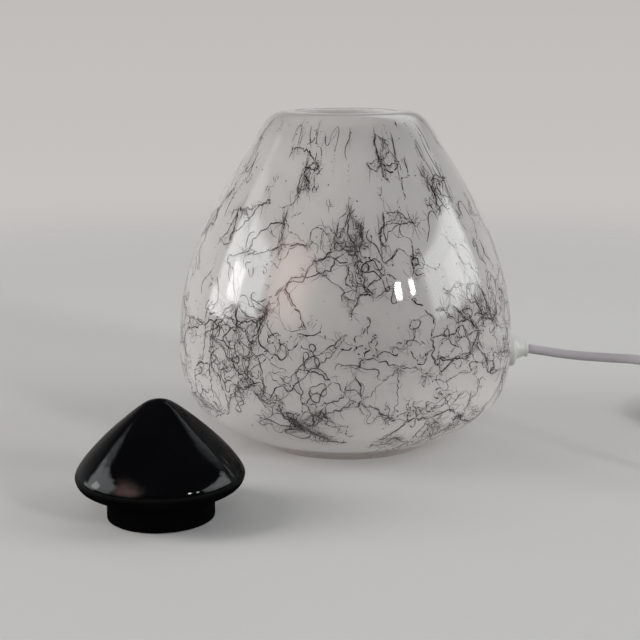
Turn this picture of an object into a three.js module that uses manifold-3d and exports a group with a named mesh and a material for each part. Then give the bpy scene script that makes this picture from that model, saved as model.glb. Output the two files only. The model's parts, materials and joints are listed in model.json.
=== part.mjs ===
// A table lamp of cased glass: a soft rounded cone with a flat open top, its pointed lid lifted off and standing
// beside it, and a cord that leaves the side low down through a small bushing. Millimetres, +Z up, the origin in
// the middle of the flat foot, +X the side that the cord leaves.
import * as THREE from "three";
import { mergeVertices } from "three/addons/utils/BufferGeometryUtils.js";
import Module from "manifold-3d";

// Clearances
const touch = 0.3; // between pieces that rest on each other
const overrun = 1; // how far a cutting solid runs past what it cuts
const weld = 0.001;

// Glass body
const glass = {
  radius: 91,
  height: 179.7,
  wall: 5,
  floor: 8,
  neckRadius: 26.2,
  rim: 7,
  mouthRound: 0.8,
  // [radius, height] of the outline, from the foot up over the shoulder to the flat top
  outlineShares: [
    [0.516, 0],
    [0.625, 0.031],
    [0.765, 0.071],
    [0.893, 0.119],
    [0.965, 0.18],
    [0.995, 0.25],
    [1, 0.31],
    [0.984, 0.42],
    [0.941, 0.52],
    [0.872, 0.62],
    [0.778, 0.72],
    [0.668, 0.82],
    [0.568, 0.9],
    [0.506, 0.95],
    [0.458, 0.98],
    [0.405, 0.996],
    [0.358, 1],
  ],
};

// Lid, standing on its collar
const lid = {
  radius: 39.4,
  height: 56.3,
  wall: 4,
  collarHeight: 13.2,
  collarPlay: 1.1, // between the collar and the neck that it fits
  placeX: -87.9,
  placeY: -133.9,
  // [radius, height above the collar] of the dome, from the seat under the brim to the tip
  outlineShares: [
    [0.8, 0],
    [0.875, 0.018],
    [0.945, 0.058],
    [0.988, 0.115],
    [0.998, 0.185],
    [0.944, 0.28],
    [0.825, 0.42],
    [0.65, 0.589],
    [0.449, 0.756],
    [0.244, 0.907],
    [0.132, 0.97],
    [0, 1],
  ],
};

// Bushing in the side of the glass
const bushing = {
  height: 49.4,
  shankRadius: 5,
  shankPlay: 0.5,
  shankReach: 8, // inwards past the inner face of the glass
  flangeRadius: 9.4,
  flange: 2.4,
  noseRadius: 5.6,
  noseEndRadius: 3.9,
  nose: 5.6,
  tip: 1.5,
  tipRadius: 4.4,
  washerRadius: 9,
  washer: 1.5,
  nut: 3,
  nutAcross: 14,
};

// Cord
const cord = {
  diameter: 5,
  bore: 5.6, // of what the cord passes through
};

// Lampholder on its weighted foot
const holder = {
  footRadius: 24.5,
  plate: 3,
  padHoleRadius: 11,
  padSpare: 1.2, // what the pad is thicker than the nut inside it
  tubeRadius: 5,
  tubeBore: 3.4,
  tubeStandUp: 2.5,
  nut: 2.6,
  nutAcross: 14,
  rise: 18, // from the plate to the cap
  capRadius: 14,
  capWall: 1.6,
  capFloor: 2,
  cap: 20,
  leadRoom: 7, // height left over the tube for the lead
  leadReach: 4, // of the lead past the wall of the cap
  leadHoleRadius: 3.2,
  insert: 18,
  recess: 12,
  recessRadius: 8.3,
  skirt: 27,
  shellRadius: 7.7,
  shellBoreRadius: 7.3,
  shell: 21,
  centreRadius: 2.4,
  centre: 2.2,
  sideWidth: 3,
  sideDepth: 1.4,
  screwRadius: 2.5,
  screwHead: 1.8,
  screwReach: 7,
};

// Bulb: a small globe on a narrow screw cap
const bulb = {
  globeRadius: 22.5,
  wall: 0.8,
  capRadius: 6.9,
  capWall: 0.45,
  cap: 22,
  capCone: 2.2,
  capHoleRadius: 4.2,
  contactRadius: 2.2,
  contact: 1.3,
  insulator: 1.6,
  neckSink: 8, // of the glass neck in the cap
  globeRise: 24, // from the top of the cap to the middle of the globe
  shoulderShare: 0.44, // neck of the globe against its radius
  stemRadius: 2.6,
  stemHeight: 16,
  stemFlare: 1.2, // height of the rim by which the stem stands in the neck
  stemTaper: 4,
  wireRadius: 0.4,
  filamentSpan: 16,
  filamentRise: 12,
};

// Wound part of the cord, its tie, and the pieces on it
const coil = {
  meanRadius: 30,
  layerTurns: 3.5,
  pitch: 5.5,
  lift: 1.2, // room for the tie beneath
  climbShare: 0.25, // of a turn, to each side of the reversal, in which it climbs a layer
  leadIn: 44,
  leadInShare: 0.62, // of the lead-in, by which it has come down
  leadOut: 32,
  leadOutShare: 0.38, // of the lead-out, from which it comes down
  stepsPerTurn: 24,
  sides: 6,
};
const tie = {
  band: 0.7,
  width: 8,
  play: 0.4,
  round: 3,
  turnShare: 0.56, // where it sits round the coil
};
const box = {
  length: 64,
  width: 27,
  endWidth: 13,
  half: 9, // height of the lower and of the upper half
  edge: 1.5,
  windowLength: 21,
  windowWidth: 11,
  windowRound: 1.5,
  rockerPlay: 1,
  rockerRise: 2.2,
  rockerDrop: 4,
  rockerTiltShare: 1 / 45, // of a whole turn, to each side
  rockerFootShare: 0.8, // where its sides start to draw in below, against half its length
  pinRadius: 1,
  pinBite: 2.5,
  pocketLength: 40,
  pocketWidth: 15,
  pocketDepth: 6,
  blade: 0.8,
  bladeLength: 12,
  bladeHeight: 4,
  screwRadius: 1.4,
  screwHeadRadius: 2.6,
  screwHead: 1.6,
  screwInset: 7,
};
const plug = {
  face: 35,
  thickness: 14,
  length: 37,
  neckWidth: 14,
  neckLength: 9,
  edge: 2,
  relief: 24,
  reliefRadius: 5.2,
  reliefEndRadius: 3.4,
  pinSpacing: 18.6,
  pinRadius: 2,
  pinCoreRadius: 1.3,
  pinReach: 19,
  sleeve: 10,
  sleeveRadius: 1.95,
};

// Route of the cord from the bushing to the switch, points chosen by hand: forwards out of the side with a slight
// sag, down to the surface, and round in a wide turn.
const route = [
  [101.1, 0, 49.4],
  [109.5, -0.3, 48.2],
  [118, -2.4, 47.3],
  [127, -7, 47.2],
  [136, -14.2, 48],
  [145, -24.2, 49.6],
  [153.6, -36.4, 51.6],
  [161, -49.2, 51.8],
  [167.5, -62, 48.4],
  [173.6, -74.6, 40.8],
  [179.6, -86.6, 30.6],
  [186, -98, 20],
  [193.4, -108.4, 11.2],
  [202.4, -117.4, 5.3],
  [213.2, -123.8, 2.9],
  [225.4, -126, 2.6],
  [237.6, -123.8, 2.6],
  [248.4, -117, 2.7],
  [256.4, -107.2, 3.5],
  [261.2, -95.4, 5.8],
  [262.8, -83.6, 8.3],
  [263, -75, 9],
];
const routeSteps = 27;

// Route of the lead inside the glass: the places between the bushing and the lampholder, each as shares of the way
// across, of the glass body's radius to the side and of its height
const leadShares = [
  [0.26, 0.06, -0.06],
  [0.44, 0.15, -0.12],
  [0.6, 0.19, -0.14],
  [0.72, 0.15, -0.1],
  [0.82, 0.06, -0.03],
];
const leadSteps = 22;

const roundSegments = 48;
const lidSegments = 40;
const smallSegments = 20;
const cordSides = 8;

// Solids by boolean
const wasm = await Module();
wasm.setup();

function solidOf(geometry) {
  const bare = geometry.index ? geometry.toNonIndexed() : geometry.clone();
  bare.deleteAttribute("normal");
  bare.deleteAttribute("uv");
  const merged = mergeVertices(bare, weld);
  return new wasm.Manifold(
    new wasm.Mesh({
      numProp: 3,
      vertProperties: merged.attributes.position.array,
      triVerts: new Uint32Array(merged.index.array),
    }),
  );
}

function geometryOf(solid) {
  const mesh = solid.getMesh();
  const geometry = new THREE.BufferGeometry();
  geometry.setAttribute("position", new THREE.BufferAttribute(mesh.vertProperties, mesh.numProp));
  geometry.setIndex(new THREE.BufferAttribute(mesh.triVerts, 1));
  geometry.computeVertexNormals();
  return geometry;
}

function cut(geometry, ...tools) {
  let solid = solidOf(geometry);
  for (const tool of tools) {
    solid = solid.subtract(solidOf(tool));
  }
  return geometryOf(solid);
}

// A solid of revolution about Z, from [radius, height] pairs that start and end on the axis or close on themselves
function turned(outline, segments = smallSegments) {
  let doubledArea = 0;
  outline.forEach(([r, z], i) => {
    const [nextR, nextZ] = outline[(i + 1) % outline.length];
    doubledArea += r * nextZ - nextR * z;
  });
  const ordered = doubledArea > 0 ? outline : [...outline].reverse();
  const points = ordered.map(([r, z]) => new THREE.Vector2(r, z));
  return new THREE.LatheGeometry(points, segments).rotateX(Math.PI / 2);
}

// A disc or a ring between two heights
function disc(radius, low, high, holeRadius = 0, segments = smallSegments) {
  const outline = [
    [holeRadius, low],
    [radius, low],
    [radius, high],
    [holeRadius, high],
  ];
  if (holeRadius > 0) {
    outline.push([holeRadius, low]);
  }
  return turned(outline, segments);
}

function circlePoints(radius, sides) {
  return Array.from({ length: sides }, (_, i) => {
    const angle = (i / sides) * 2 * Math.PI;
    return new THREE.Vector2(radius * Math.cos(angle), radius * Math.sin(angle));
  });
}

function hexNut(across, height, boreRadius) {
  const shape = new THREE.Shape(circlePoints(across / Math.sqrt(3), 6));
  shape.holes.push(new THREE.Path(circlePoints(boreRadius, smallSegments)));
  return new THREE.ExtrudeGeometry(shape, { depth: height, bevelEnabled: false });
}

function roundedRectangle(target, width, height, round) {
  const x = width / 2;
  const y = height / 2;
  target.moveTo(x - round, -y);
  target.absarc(x - round, round - y, round, -Math.PI / 2, 0);
  target.absarc(x - round, y - round, round, 0, Math.PI / 2);
  target.absarc(round - x, y - round, round, Math.PI / 2, Math.PI);
  target.absarc(round - x, round - y, round, Math.PI, (3 * Math.PI) / 2);
  target.closePath();
  return target;
}

// A round rod or tube solid along a curve
function rod(points, radius, steps, sides) {
  const curve = new THREE.CatmullRomCurve3(points, false, "centripetal");
  const shape = new THREE.Shape(circlePoints(radius, sides));
  return new THREE.ExtrudeGeometry(shape, { steps, extrudePath: curve, bevelEnabled: false });
}

// A tube through every given point, its section kept upright, closed at both ends
function woundTube(points, radius, sides) {
  const up = new THREE.Vector3(0, 0, 1);
  const vertices = [];
  const triangles = [];
  points.forEach((point, i) => {
    const ahead = points[Math.min(i + 1, points.length - 1)];
    const behind = points[Math.max(i - 1, 0)];
    const along = ahead.clone().sub(behind).normalize();
    const side = up.clone().cross(along).normalize();
    const over = along.clone().cross(side);
    circlePoints(radius, sides).forEach(({ x, y }) => {
      vertices.push(...point.clone().addScaledVector(side, x).addScaledVector(over, y));
    });
  });
  const last = (points.length - 1) * sides;
  for (let ring = 0; ring < last; ring += sides) {
    for (let i = 0; i < sides; i += 1) {
      const next = (i + 1) % sides;
      triangles.push(ring + i, ring + next, ring + sides + next);
      triangles.push(ring + i, ring + sides + next, ring + sides + i);
    }
  }
  for (let i = 1; i < sides - 1; i += 1) {
    triangles.push(0, i + 1, i);
    triangles.push(last, last + i, last + i + 1);
  }
  const geometry = new THREE.BufferGeometry();
  geometry.setAttribute("position", new THREE.Float32BufferAttribute(vertices, 3));
  geometry.setIndex(triangles);
  geometry.computeVertexNormals();
  return geometry;
}

// Finishes
const finishes = {
  whiteGlass: { color: 0xefe9e4, roughness: 0.08 },
  blackGlass: { color: 0x07080a, roughness: 0.05 },
  clearGlass: { color: 0xf4f6f6, roughness: 0.05 },
  darkGlass: { color: 0x141418, roughness: 0.2 },
  whitePlastic: { color: 0xe4e2e4, roughness: 0.35 },
  ivoryPlastic: { color: 0xd9d6d2, roughness: 0.4 },
  cordPlastic: { color: 0xb9b2bd, roughness: 0.45 },
  blackRubber: { color: 0x1d1d1f, roughness: 0.8 },
  felt: { color: 0x4a4c4e, roughness: 0.95 },
  steel: { color: 0xb4b6b8, roughness: 0.35, metalness: 1 },
  brass: { color: 0xc29b4e, roughness: 0.35, metalness: 1 },
  nickel: { color: 0xcac8c2, roughness: 0.25, metalness: 1 },
  ceramic: { color: 0xe9e5dc, roughness: 0.3 },
  tungsten: { color: 0x55504c, roughness: 0.5, metalness: 1 },
};

const lamp = new THREE.Group();

function add(name, geometry, finish, parent = lamp) {
  const mesh = new THREE.Mesh(geometry, new THREE.MeshStandardMaterial({ metalness: 0, ...finishes[finish] }));
  mesh.name = name;
  parent.add(mesh);
  return mesh;
}

// Outlines in the plane of radius and height
function outlineCurve(shares, radius, low, height) {
  const points = shares.map(([r, z]) => new THREE.Vector2(r * radius, low + z * height));
  return new THREE.SplineCurve(points);
}

function outlinePoints(curve, count) {
  return curve.getPoints(count).map(({ x, y }) => [x, y]);
}

// Points of the curve moved to its inner side, which is on the left of its way up
function insetPoints(curve, inset, count) {
  return Array.from({ length: count + 1 }, (_, i) => {
    const at = curve.getPoint(i / count);
    const along = curve.getTangent(i / count);
    return [at.x - along.y * inset, at.y + along.x * inset];
  });
}

// Radius at which a row of [radius, height] points first passes a height
function radiusAt(points, height) {
  const next = points.findIndex(([, z], i) => i > 0 && z >= height && points[i - 1][1] < height);
  const [lowR, lowZ] = points[next - 1];
  const [highR, highZ] = points[next];
  return THREE.MathUtils.mapLinear(height, lowZ, highZ, lowR, highR);
}

const bodyCurve = outlineCurve(glass.outlineShares, glass.radius, 0, glass.height);
const bodyOuter = outlinePoints(bodyCurve, 28);
const bodyInner = insetPoints(bodyCurve, glass.wall, 18);
const innerFace = radiusAt(bodyInner, bushing.height);

// The largest radius of the outside that the flange spans, and the smallest of the inside that the washer spans
const flangeSpan = [-1, 0, 1].map((side) => radiusAt(bodyOuter, bushing.height + side * bushing.flangeRadius));
const washerSpan = [-1, 0, 1].map((side) => radiusAt(bodyInner, bushing.height + side * bushing.washerRadius));
const bushingSeat = Math.max(...flangeSpan);
const washerSeat = Math.min(...washerSpan);

function buildBody() {
  const ceiling = glass.height - glass.rim;
  const inside = bodyInner.filter(([, z]) => z > glass.floor && z < ceiling);
  const outline = [
    [0, 0],
    ...bodyOuter,
    [glass.neckRadius + glass.mouthRound, glass.height],
    [glass.neckRadius, glass.height - glass.mouthRound],
    [glass.neckRadius, ceiling],
    [radiusAt(bodyInner, ceiling), ceiling],
    ...inside.reverse(),
    [radiusAt(bodyInner, glass.floor), glass.floor],
    [0, glass.floor],
  ];
  const holeRadius = bushing.shankRadius + bushing.shankPlay;
  const hole = disc(holeRadius, innerFace - glass.wall, bushingSeat + glass.wall, 0, smallSegments)
    .rotateY(Math.PI / 2)
    .translate(0, 0, bushing.height);
  add("glass_body", cut(turned(outline, roundSegments), hole), "whiteGlass");
}

function buildLid() {
  const collarRadius = glass.neckRadius - lid.collarPlay;
  const boreRadius = collarRadius - lid.wall;
  const dome = outlineCurve(lid.outlineShares, lid.radius, lid.collarHeight, lid.height - lid.collarHeight);
  const inside = insetPoints(dome, lid.wall, 20).filter(([r, z]) => r < boreRadius && r > 0 && z > lid.collarHeight);
  const outline = [
    [0, lid.height - lid.wall],
    ...inside.reverse(),
    [boreRadius, inside.at(-1)[1] - lid.wall],
    [boreRadius, 0],
    [collarRadius, 0],
    [collarRadius, lid.collarHeight],
    ...outlinePoints(dome, 20),
  ];
  const mesh = add("lid", turned(outline, lidSegments), "blackGlass");
  mesh.position.set(lid.placeX, lid.placeY, 0);
}

// The bushing and what holds it, built along Z and turned to point out of the side
function buildBushing() {
  const side = new THREE.Group();
  side.rotation.y = Math.PI / 2;
  side.position.z = bushing.height;
  lamp.add(side);

  const flangeLow = bushingSeat + touch;
  const flangeHigh = flangeLow + bushing.flange;
  const noseHigh = flangeHigh + bushing.nose;
  const tipHigh = noseHigh + bushing.tip;
  const shankLow = innerFace - bushing.shankReach;
  const boreRadius = cord.bore / 2;
  const outline = [
    [boreRadius, shankLow],
    [bushing.shankRadius, shankLow],
    [bushing.shankRadius, flangeLow],
    [bushing.flangeRadius, flangeLow],
    [bushing.flangeRadius, flangeHigh],
    [bushing.noseRadius, flangeHigh],
    [bushing.noseEndRadius, noseHigh],
    [bushing.tipRadius, noseHigh],
    [bushing.tipRadius, tipHigh],
    [boreRadius, tipHigh],
    [boreRadius, shankLow],
  ];
  add("cord_bushing", turned(outline), "whitePlastic", side);

  // The glass is hollow towards the washer, so the washer touches it with its rim
  const washerHigh = Math.sqrt(washerSeat ** 2 - bushing.washerRadius ** 2) - touch;
  const washerLow = washerHigh - bushing.washer;
  const looseRadius = bushing.shankRadius + touch;
  add("bushing_washer", disc(bushing.washerRadius, washerLow, washerHigh, looseRadius), "blackRubber", side);

  const nut = add("bushing_nut", hexNut(bushing.nutAcross, bushing.nut, looseRadius), "ivoryPlastic", side);
  nut.position.z = washerLow - touch - bushing.nut;
  return { shankLow, tipHigh };
}

// Heights of the lampholder, from the inner floor of the glass up
const padLow = glass.floor + touch;
const padHigh = padLow + holder.nut + holder.padSpare;
const plateLow = padHigh + touch;
const plateHigh = plateLow + holder.plate;
const capLow = plateHigh + holder.rise;
const capHigh = capLow + holder.cap;
const tubeLow = plateLow - touch - holder.nut;
const tubeHigh = capLow + holder.capFloor + holder.tubeStandUp;
const leadHeight = tubeHigh + holder.leadRoom / 2;
const insertLow = tubeHigh + holder.leadRoom;
const insertHigh = insertLow + holder.insert;
const recessFloor = insertHigh - holder.recess;
const skirtLow = capHigh + touch;
const shellLow = recessFloor + touch + holder.centre + touch;

function buildHolder() {
  const tubeHole = holder.tubeRadius + touch;
  const nut = (name, low) => {
    const mesh = add(name, hexNut(holder.nutAcross, holder.nut, tubeHole), "steel");
    mesh.position.z = low;
  };
  add("holder_pad", disc(holder.footRadius, padLow, padHigh, holder.padHoleRadius, roundSegments), "felt");
  add("holder_base", disc(holder.footRadius, plateLow, plateHigh, tubeHole, roundSegments), "steel");
  nut("holder_nut_below", tubeLow);
  nut("holder_nut_above", plateHigh + touch);
  nut("holder_nut_cap", capLow - touch - holder.nut);
  add("holder_tube", disc(holder.tubeRadius, tubeLow, tubeHigh, holder.tubeBore), "steel");

  const innerRadius = holder.capRadius - holder.capWall;
  const cap = turned([
    [tubeHole, capLow],
    [holder.capRadius, capLow],
    [holder.capRadius, capHigh],
    [innerRadius, capHigh],
    [innerRadius, capLow + holder.capFloor],
    [tubeHole, capLow + holder.capFloor],
    [tubeHole, capLow],
  ]);
  const leadHole = disc(holder.leadHoleRadius, 0, holder.capRadius + overrun)
    .rotateY(Math.PI / 2)
    .translate(0, 0, leadHeight);
  add("holder_cap", cut(cap, leadHole), "ivoryPlastic");

  const insertRadius = innerRadius - touch;
  const insertOutline = [
    [0, insertLow],
    [insertRadius, insertLow],
    [insertRadius, insertHigh],
    [holder.recessRadius, insertHigh],
    [holder.recessRadius, recessFloor],
    [0, recessFloor],
  ];
  add("holder_insert", turned(insertOutline), "ceramic");
  const contactLow = recessFloor + touch;
  const contactHigh = contactLow + holder.centre;
  add("holder_contact_centre", disc(holder.centreRadius, contactLow, contactHigh), "brass");
  const sideContact = new THREE.BoxGeometry(holder.sideDepth, holder.sideWidth, holder.centre);
  const sideMesh = add("holder_contact_side", sideContact, "brass");
  sideMesh.position.set(holder.shellRadius - holder.sideDepth / 2, 0, (contactLow + contactHigh) / 2);

  [-1, 1].forEach((side, i) => {
    const high = insertLow - touch;
    const screw = disc(holder.screwRadius, high - holder.screwHead, high);
    const mesh = add("holder_terminal_" + (i + 1), screw, "brass");
    mesh.position.y = side * holder.screwReach;
  });

  const shell = disc(holder.shellRadius, shellLow, shellLow + holder.shell, holder.shellBoreRadius);
  add("holder_screw_shell", shell, "nickel");
  const skirt = disc(holder.capRadius, skirtLow, skirtLow + holder.skirt, innerRadius, roundSegments);
  add("holder_skirt", skirt, "ivoryPlastic");
}

function buildBulb() {
  const contactLow = recessFloor + touch + holder.centre + touch;
  const contactHigh = contactLow + bulb.contact;
  const capLowEnd = contactHigh + touch + bulb.insulator / 2;
  const capTop = capLowEnd + bulb.cap;
  const capInner = bulb.capRadius - bulb.capWall;
  add("bulb_contact", disc(bulb.contactRadius, contactLow, contactHigh), "nickel");
  const insulatorRadius = bulb.capHoleRadius - touch;
  const insulatorLow = contactHigh + touch;
  add("bulb_insulator", disc(insulatorRadius, insulatorLow, insulatorLow + bulb.insulator), "darkGlass");
  const capOutline = [
    [bulb.capHoleRadius, capLowEnd],
    [bulb.capRadius, capLowEnd + bulb.capCone],
    [bulb.capRadius, capTop],
    [capInner, capTop],
    [capInner, capLowEnd + bulb.capCone],
    [bulb.capHoleRadius, capLowEnd + 2 * bulb.capWall],
    [bulb.capHoleRadius, capLowEnd],
  ];
  add("bulb_cap", turned(capOutline), "nickel");

  const neckRadius = capInner - touch;
  const neckLow = capTop - bulb.neckSink;
  const middle = capTop + bulb.globeRise;
  const globe = (radius, from) => {
    const start = -Math.acos(from / radius);
    return Array.from({ length: 11 }, (_, i) => {
      const angle = start + ((Math.PI / 2 - start) * i) / 10;
      return [Math.max(radius * Math.cos(angle), 0), middle + radius * Math.sin(angle)];
    });
  };
  const shoulder = bulb.shoulderShare * bulb.globeRadius;
  const outer = globe(bulb.globeRadius, shoulder);
  const inner = globe(bulb.globeRadius - bulb.wall, shoulder - bulb.wall);
  outer[outer.length - 1][0] = 0;
  inner[inner.length - 1][0] = 0;
  const glassOutline = [
    ...inner.reverse(),
    [neckRadius - bulb.wall, capTop + touch],
    [neckRadius - bulb.wall, neckLow],
    [neckRadius, neckLow],
    [neckRadius, capTop + touch],
    ...outer,
  ];
  add("bulb_glass", turned(glassOutline, 24), "clearGlass");

  const stemHigh = neckLow + bulb.stemHeight;
  const flareRadius = neckRadius - bulb.wall - touch;
  const flareHigh = neckLow + bulb.stemFlare;
  const stem = turned([
    [0, neckLow],
    [flareRadius, neckLow],
    [flareRadius, flareHigh],
    [bulb.stemRadius, flareHigh + bulb.stemTaper],
    [bulb.stemRadius, stemHigh],
    [0, stemHigh],
  ]);
  add("bulb_stem", stem, "clearGlass");
  const wireLow = stemHigh + touch;
  const span = bulb.filamentSpan / 2;
  const foot = bulb.stemRadius / 2;
  const wire = [
    [-foot, wireLow],
    [-span, wireLow + bulb.filamentRise],
    [0, wireLow + bulb.filamentRise + foot],
    [span, wireLow + bulb.filamentRise],
    [foot, wireLow],
  ].map(([x, z]) => new THREE.Vector3(x, 0, z));
  add("bulb_filament", rod(wire, bulb.wireRadius, 20, 5), "tungsten");
}

// The lead from the tip of the bushing, straight through it and on to the cap of the lampholder
function buildLead({ shankLow, tipHigh }) {
  const tip = new THREE.Vector3(tipHigh, 0, bushing.height);
  const start = new THREE.Vector3(shankLow - touch, 0, bushing.height);
  const end = new THREE.Vector3(holder.capRadius - holder.capWall - holder.leadReach, 0, leadHeight);
  const straight = new THREE.Vector3(cord.diameter, 0, 0);
  const points = [tip, start, start.clone().sub(straight)];
  for (const [across, side, rise] of leadShares) {
    const point = start.clone().lerp(end, across);
    point.y += side * glass.radius;
    point.z += rise * glass.height;
    points.push(point);
  }
  for (const away of [cord.diameter, touch]) {
    points.push(new THREE.Vector3(holder.capRadius + away, 0, leadHeight));
  }
  points.push(end);
  add("inner_lead", rod(points, cord.diameter / 2, leadSteps, cordSides), "cordPlastic");
}

// A frame that stands where a cord ends, with its Y axis along the cord
function frameAt(x, y) {
  const frame = new THREE.Group();
  frame.position.set(x, y, 0);
  lamp.add(frame);
  return frame;
}

function buildCord() {
  const points = route.map((p) => new THREE.Vector3(...p));
  add("cord_free", rod(points, cord.diameter / 2, routeSteps, cordSides), "cordPlastic");
  return points.at(-1);
}

// Outline of the switch halves, long along Y, its ends cut flat where the cord goes in
function boxOutline() {
  const endHalf = box.endWidth / 2;
  const bulge = box.width - box.endWidth;
  const shape = new THREE.Shape();
  shape.moveTo(-endHalf, 0);
  shape.lineTo(endHalf, 0);
  shape.quadraticCurveTo(endHalf + bulge / 2, box.length / 4, endHalf + bulge / 2, box.length / 2);
  shape.quadraticCurveTo(endHalf + bulge / 2, (3 * box.length) / 4, endHalf, box.length);
  shape.lineTo(-endHalf, box.length);
  shape.quadraticCurveTo(-endHalf - bulge / 2, (3 * box.length) / 4, -endHalf - bulge / 2, box.length / 2);
  shape.quadraticCurveTo(-endHalf - bulge / 2, box.length / 4, -endHalf, 0);
  return shape;
}

function boxHalf(shape) {
  const bevel = { bevelThickness: box.edge, bevelSize: box.edge, bevelOffset: -box.edge, bevelSegments: 2 };
  const depth = box.half - 2 * box.edge;
  return new THREE.ExtrudeGeometry(shape, { depth, curveSegments: 8, ...bevel }).translate(0, 0, box.edge);
}

function buildSwitch(cordEnd) {
  const frame = frameAt(cordEnd.x, cordEnd.y + touch);
  const middle = box.length / 2;
  const parting = box.half;
  const top = parting + touch + box.half;

  const pocket = new THREE.BoxGeometry(box.pocketWidth, box.pocketLength, box.pocketDepth + overrun);
  pocket.translate(0, middle, parting - (box.pocketDepth - overrun) / 2);
  const screwWells = [-1, 1].map((side) => {
    const away = middle - box.screwInset;
    return disc(box.screwRadius + touch, -overrun, parting + overrun).translate(0, middle + side * away, 0);
  });
  const headWells = [-1, 1].map((side) => {
    const away = middle - box.screwInset;
    const wellTop = box.screwHead + touch;
    return disc(box.screwHeadRadius + touch, -overrun, wellTop).translate(0, middle + side * away, 0);
  });
  const lower = cut(boxHalf(boxOutline()), pocket, ...screwWells, ...headWells);
  add("switch_lower", lower, "ivoryPlastic", frame);

  const windowShape = roundedRectangle(new THREE.Shape(), box.windowWidth, box.windowLength, box.windowRound);
  const windowDepth = box.half + 2 * overrun;
  const window = new THREE.ExtrudeGeometry(windowShape, { depth: windowDepth, bevelEnabled: false, curveSegments: 3 });
  window.translate(0, middle, parting + touch - overrun);
  const pivot = top - box.rockerDrop;
  const pinHalf = box.windowWidth / 2 + box.pinBite;
  const pinHole = disc(box.pinRadius + touch, -pinHalf - touch, pinHalf + touch)
    .rotateY(Math.PI / 2)
    .translate(0, middle, pivot);
  const tips = [-1, 1].map((side) => {
    const away = middle - box.screwInset;
    const wellTop = parting + touch + box.half / 2;
    return disc(box.screwRadius + touch, parting, wellTop).translate(0, middle + side * away, 0);
  });
  const upper = boxHalf(boxOutline()).translate(0, 0, parting + touch);
  add("switch_upper", cut(upper, window, pinHole, ...tips), "ivoryPlastic", frame);

  const pin = disc(box.pinRadius, -pinHalf, pinHalf).rotateY(Math.PI / 2);
  add("switch_pin", pin, "steel", frame).position.set(0, middle, pivot);

  // The rocker rests tilted to its off side, about the pin
  const half = box.windowLength / 2 - box.rockerPlay;
  const rise = box.rockerDrop + box.rockerRise;
  const drop = box.rockerDrop;
  const crown = rise - box.rockerRise / 2;
  const rockerShape = new THREE.Shape();
  rockerShape.moveTo(-half * box.rockerFootShare, -drop / 2);
  rockerShape.lineTo(0, -drop);
  rockerShape.lineTo(half * box.rockerFootShare, -drop / 2);
  rockerShape.lineTo(half, rise);
  rockerShape.quadraticCurveTo(0, crown - box.rockerRise, -half, rise);
  const width = box.windowWidth - 2 * touch;
  const rocker = new THREE.ExtrudeGeometry(rockerShape, { depth: width, bevelEnabled: false, curveSegments: 8 });
  rocker.rotateX(Math.PI / 2).rotateZ(Math.PI / 2).translate(-width / 2, 0, 0);
  const bore = disc(box.pinRadius + touch, -width, width).rotateY(Math.PI / 2);
  const rockerMesh = add("switch_rocker", cut(rocker, bore), "whitePlastic", frame);
  rockerMesh.position.set(0, middle, pivot);
  rockerMesh.rotation.x = -box.rockerTiltShare * 2 * Math.PI;

  const bladeLow = parting - box.pocketDepth + touch;
  [-1, 1].forEach((side, i) => {
    const blade = new THREE.BoxGeometry(box.blade, box.bladeLength, box.bladeHeight);
    const mesh = add("switch_contact_" + (i + 1), blade, "brass", frame);
    const offset = side * (box.pocketWidth / 2 - box.blade);
    mesh.position.set(offset, middle, bladeLow + box.bladeHeight / 2);

    const away = middle - box.screwInset;
    const shaftTop = parting + touch + box.half / 2 - touch;
    const screw = turned([
      [0, touch],
      [box.screwHeadRadius, touch],
      [box.screwHeadRadius, box.screwHead],
      [box.screwRadius, box.screwHead],
      [box.screwRadius, shaftTop],
      [0, shaftTop],
    ]);
    add("switch_screw_" + (i + 1), screw, "steel", frame).position.y = middle + side * away;
  });
  return new THREE.Vector3(cordEnd.x, cordEnd.y + 2 * touch + box.length, parting);
}

// Places of the coil's two layers, its reversal in the middle, and its ends
function coilPoints(start) {
  const outerRadius = coil.meanRadius + (coil.layerTurns * coil.pitch) / 2;
  const low = cord.diameter / 2 + coil.lift;
  const centre = new THREE.Vector3(start.x - outerRadius, start.y + coil.leadIn, 0);
  const points = [start.clone()];
  const inSteps = Math.round(coil.leadIn / cord.diameter);
  for (let i = 1; i < inSteps; i += 1) {
    const share = THREE.MathUtils.smoothstep(i, 1, coil.leadInShare * inSteps);
    const z = THREE.MathUtils.lerp(start.z, low, share);
    points.push(new THREE.Vector3(start.x, start.y + (coil.leadIn * i) / inSteps, z));
  }
  const steps = 2 * coil.layerTurns * coil.stepsPerTurn;
  for (let i = 0; i <= steps; i += 1) {
    const turn = i / coil.stepsPerTurn;
    const fromReversal = turn - coil.layerTurns;
    const inward = coil.layerTurns - Math.abs(fromReversal);
    const radius = outerRadius - coil.pitch * inward;
    const climb = THREE.MathUtils.smoothstep(fromReversal, -coil.climbShare, coil.climbShare);
    const angle = turn * 2 * Math.PI;
    const place = new THREE.Vector3(radius * Math.cos(angle), radius * Math.sin(angle), low + coil.pitch * climb);
    points.push(place.add(centre));
  }
  const high = low + coil.pitch;
  const plugHeight = plug.thickness / 2;
  const outSteps = Math.round(coil.leadOut / cord.diameter);
  for (let i = 1; i <= outSteps; i += 1) {
    const share = THREE.MathUtils.smoothstep(i, coil.leadOutShare * outSteps, outSteps - 1);
    const z = THREE.MathUtils.lerp(high, plugHeight, share);
    points.push(new THREE.Vector3(start.x, centre.y + (coil.leadOut * i) / outSteps, z));
  }
  return { points, centre, outerRadius, low };
}

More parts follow.
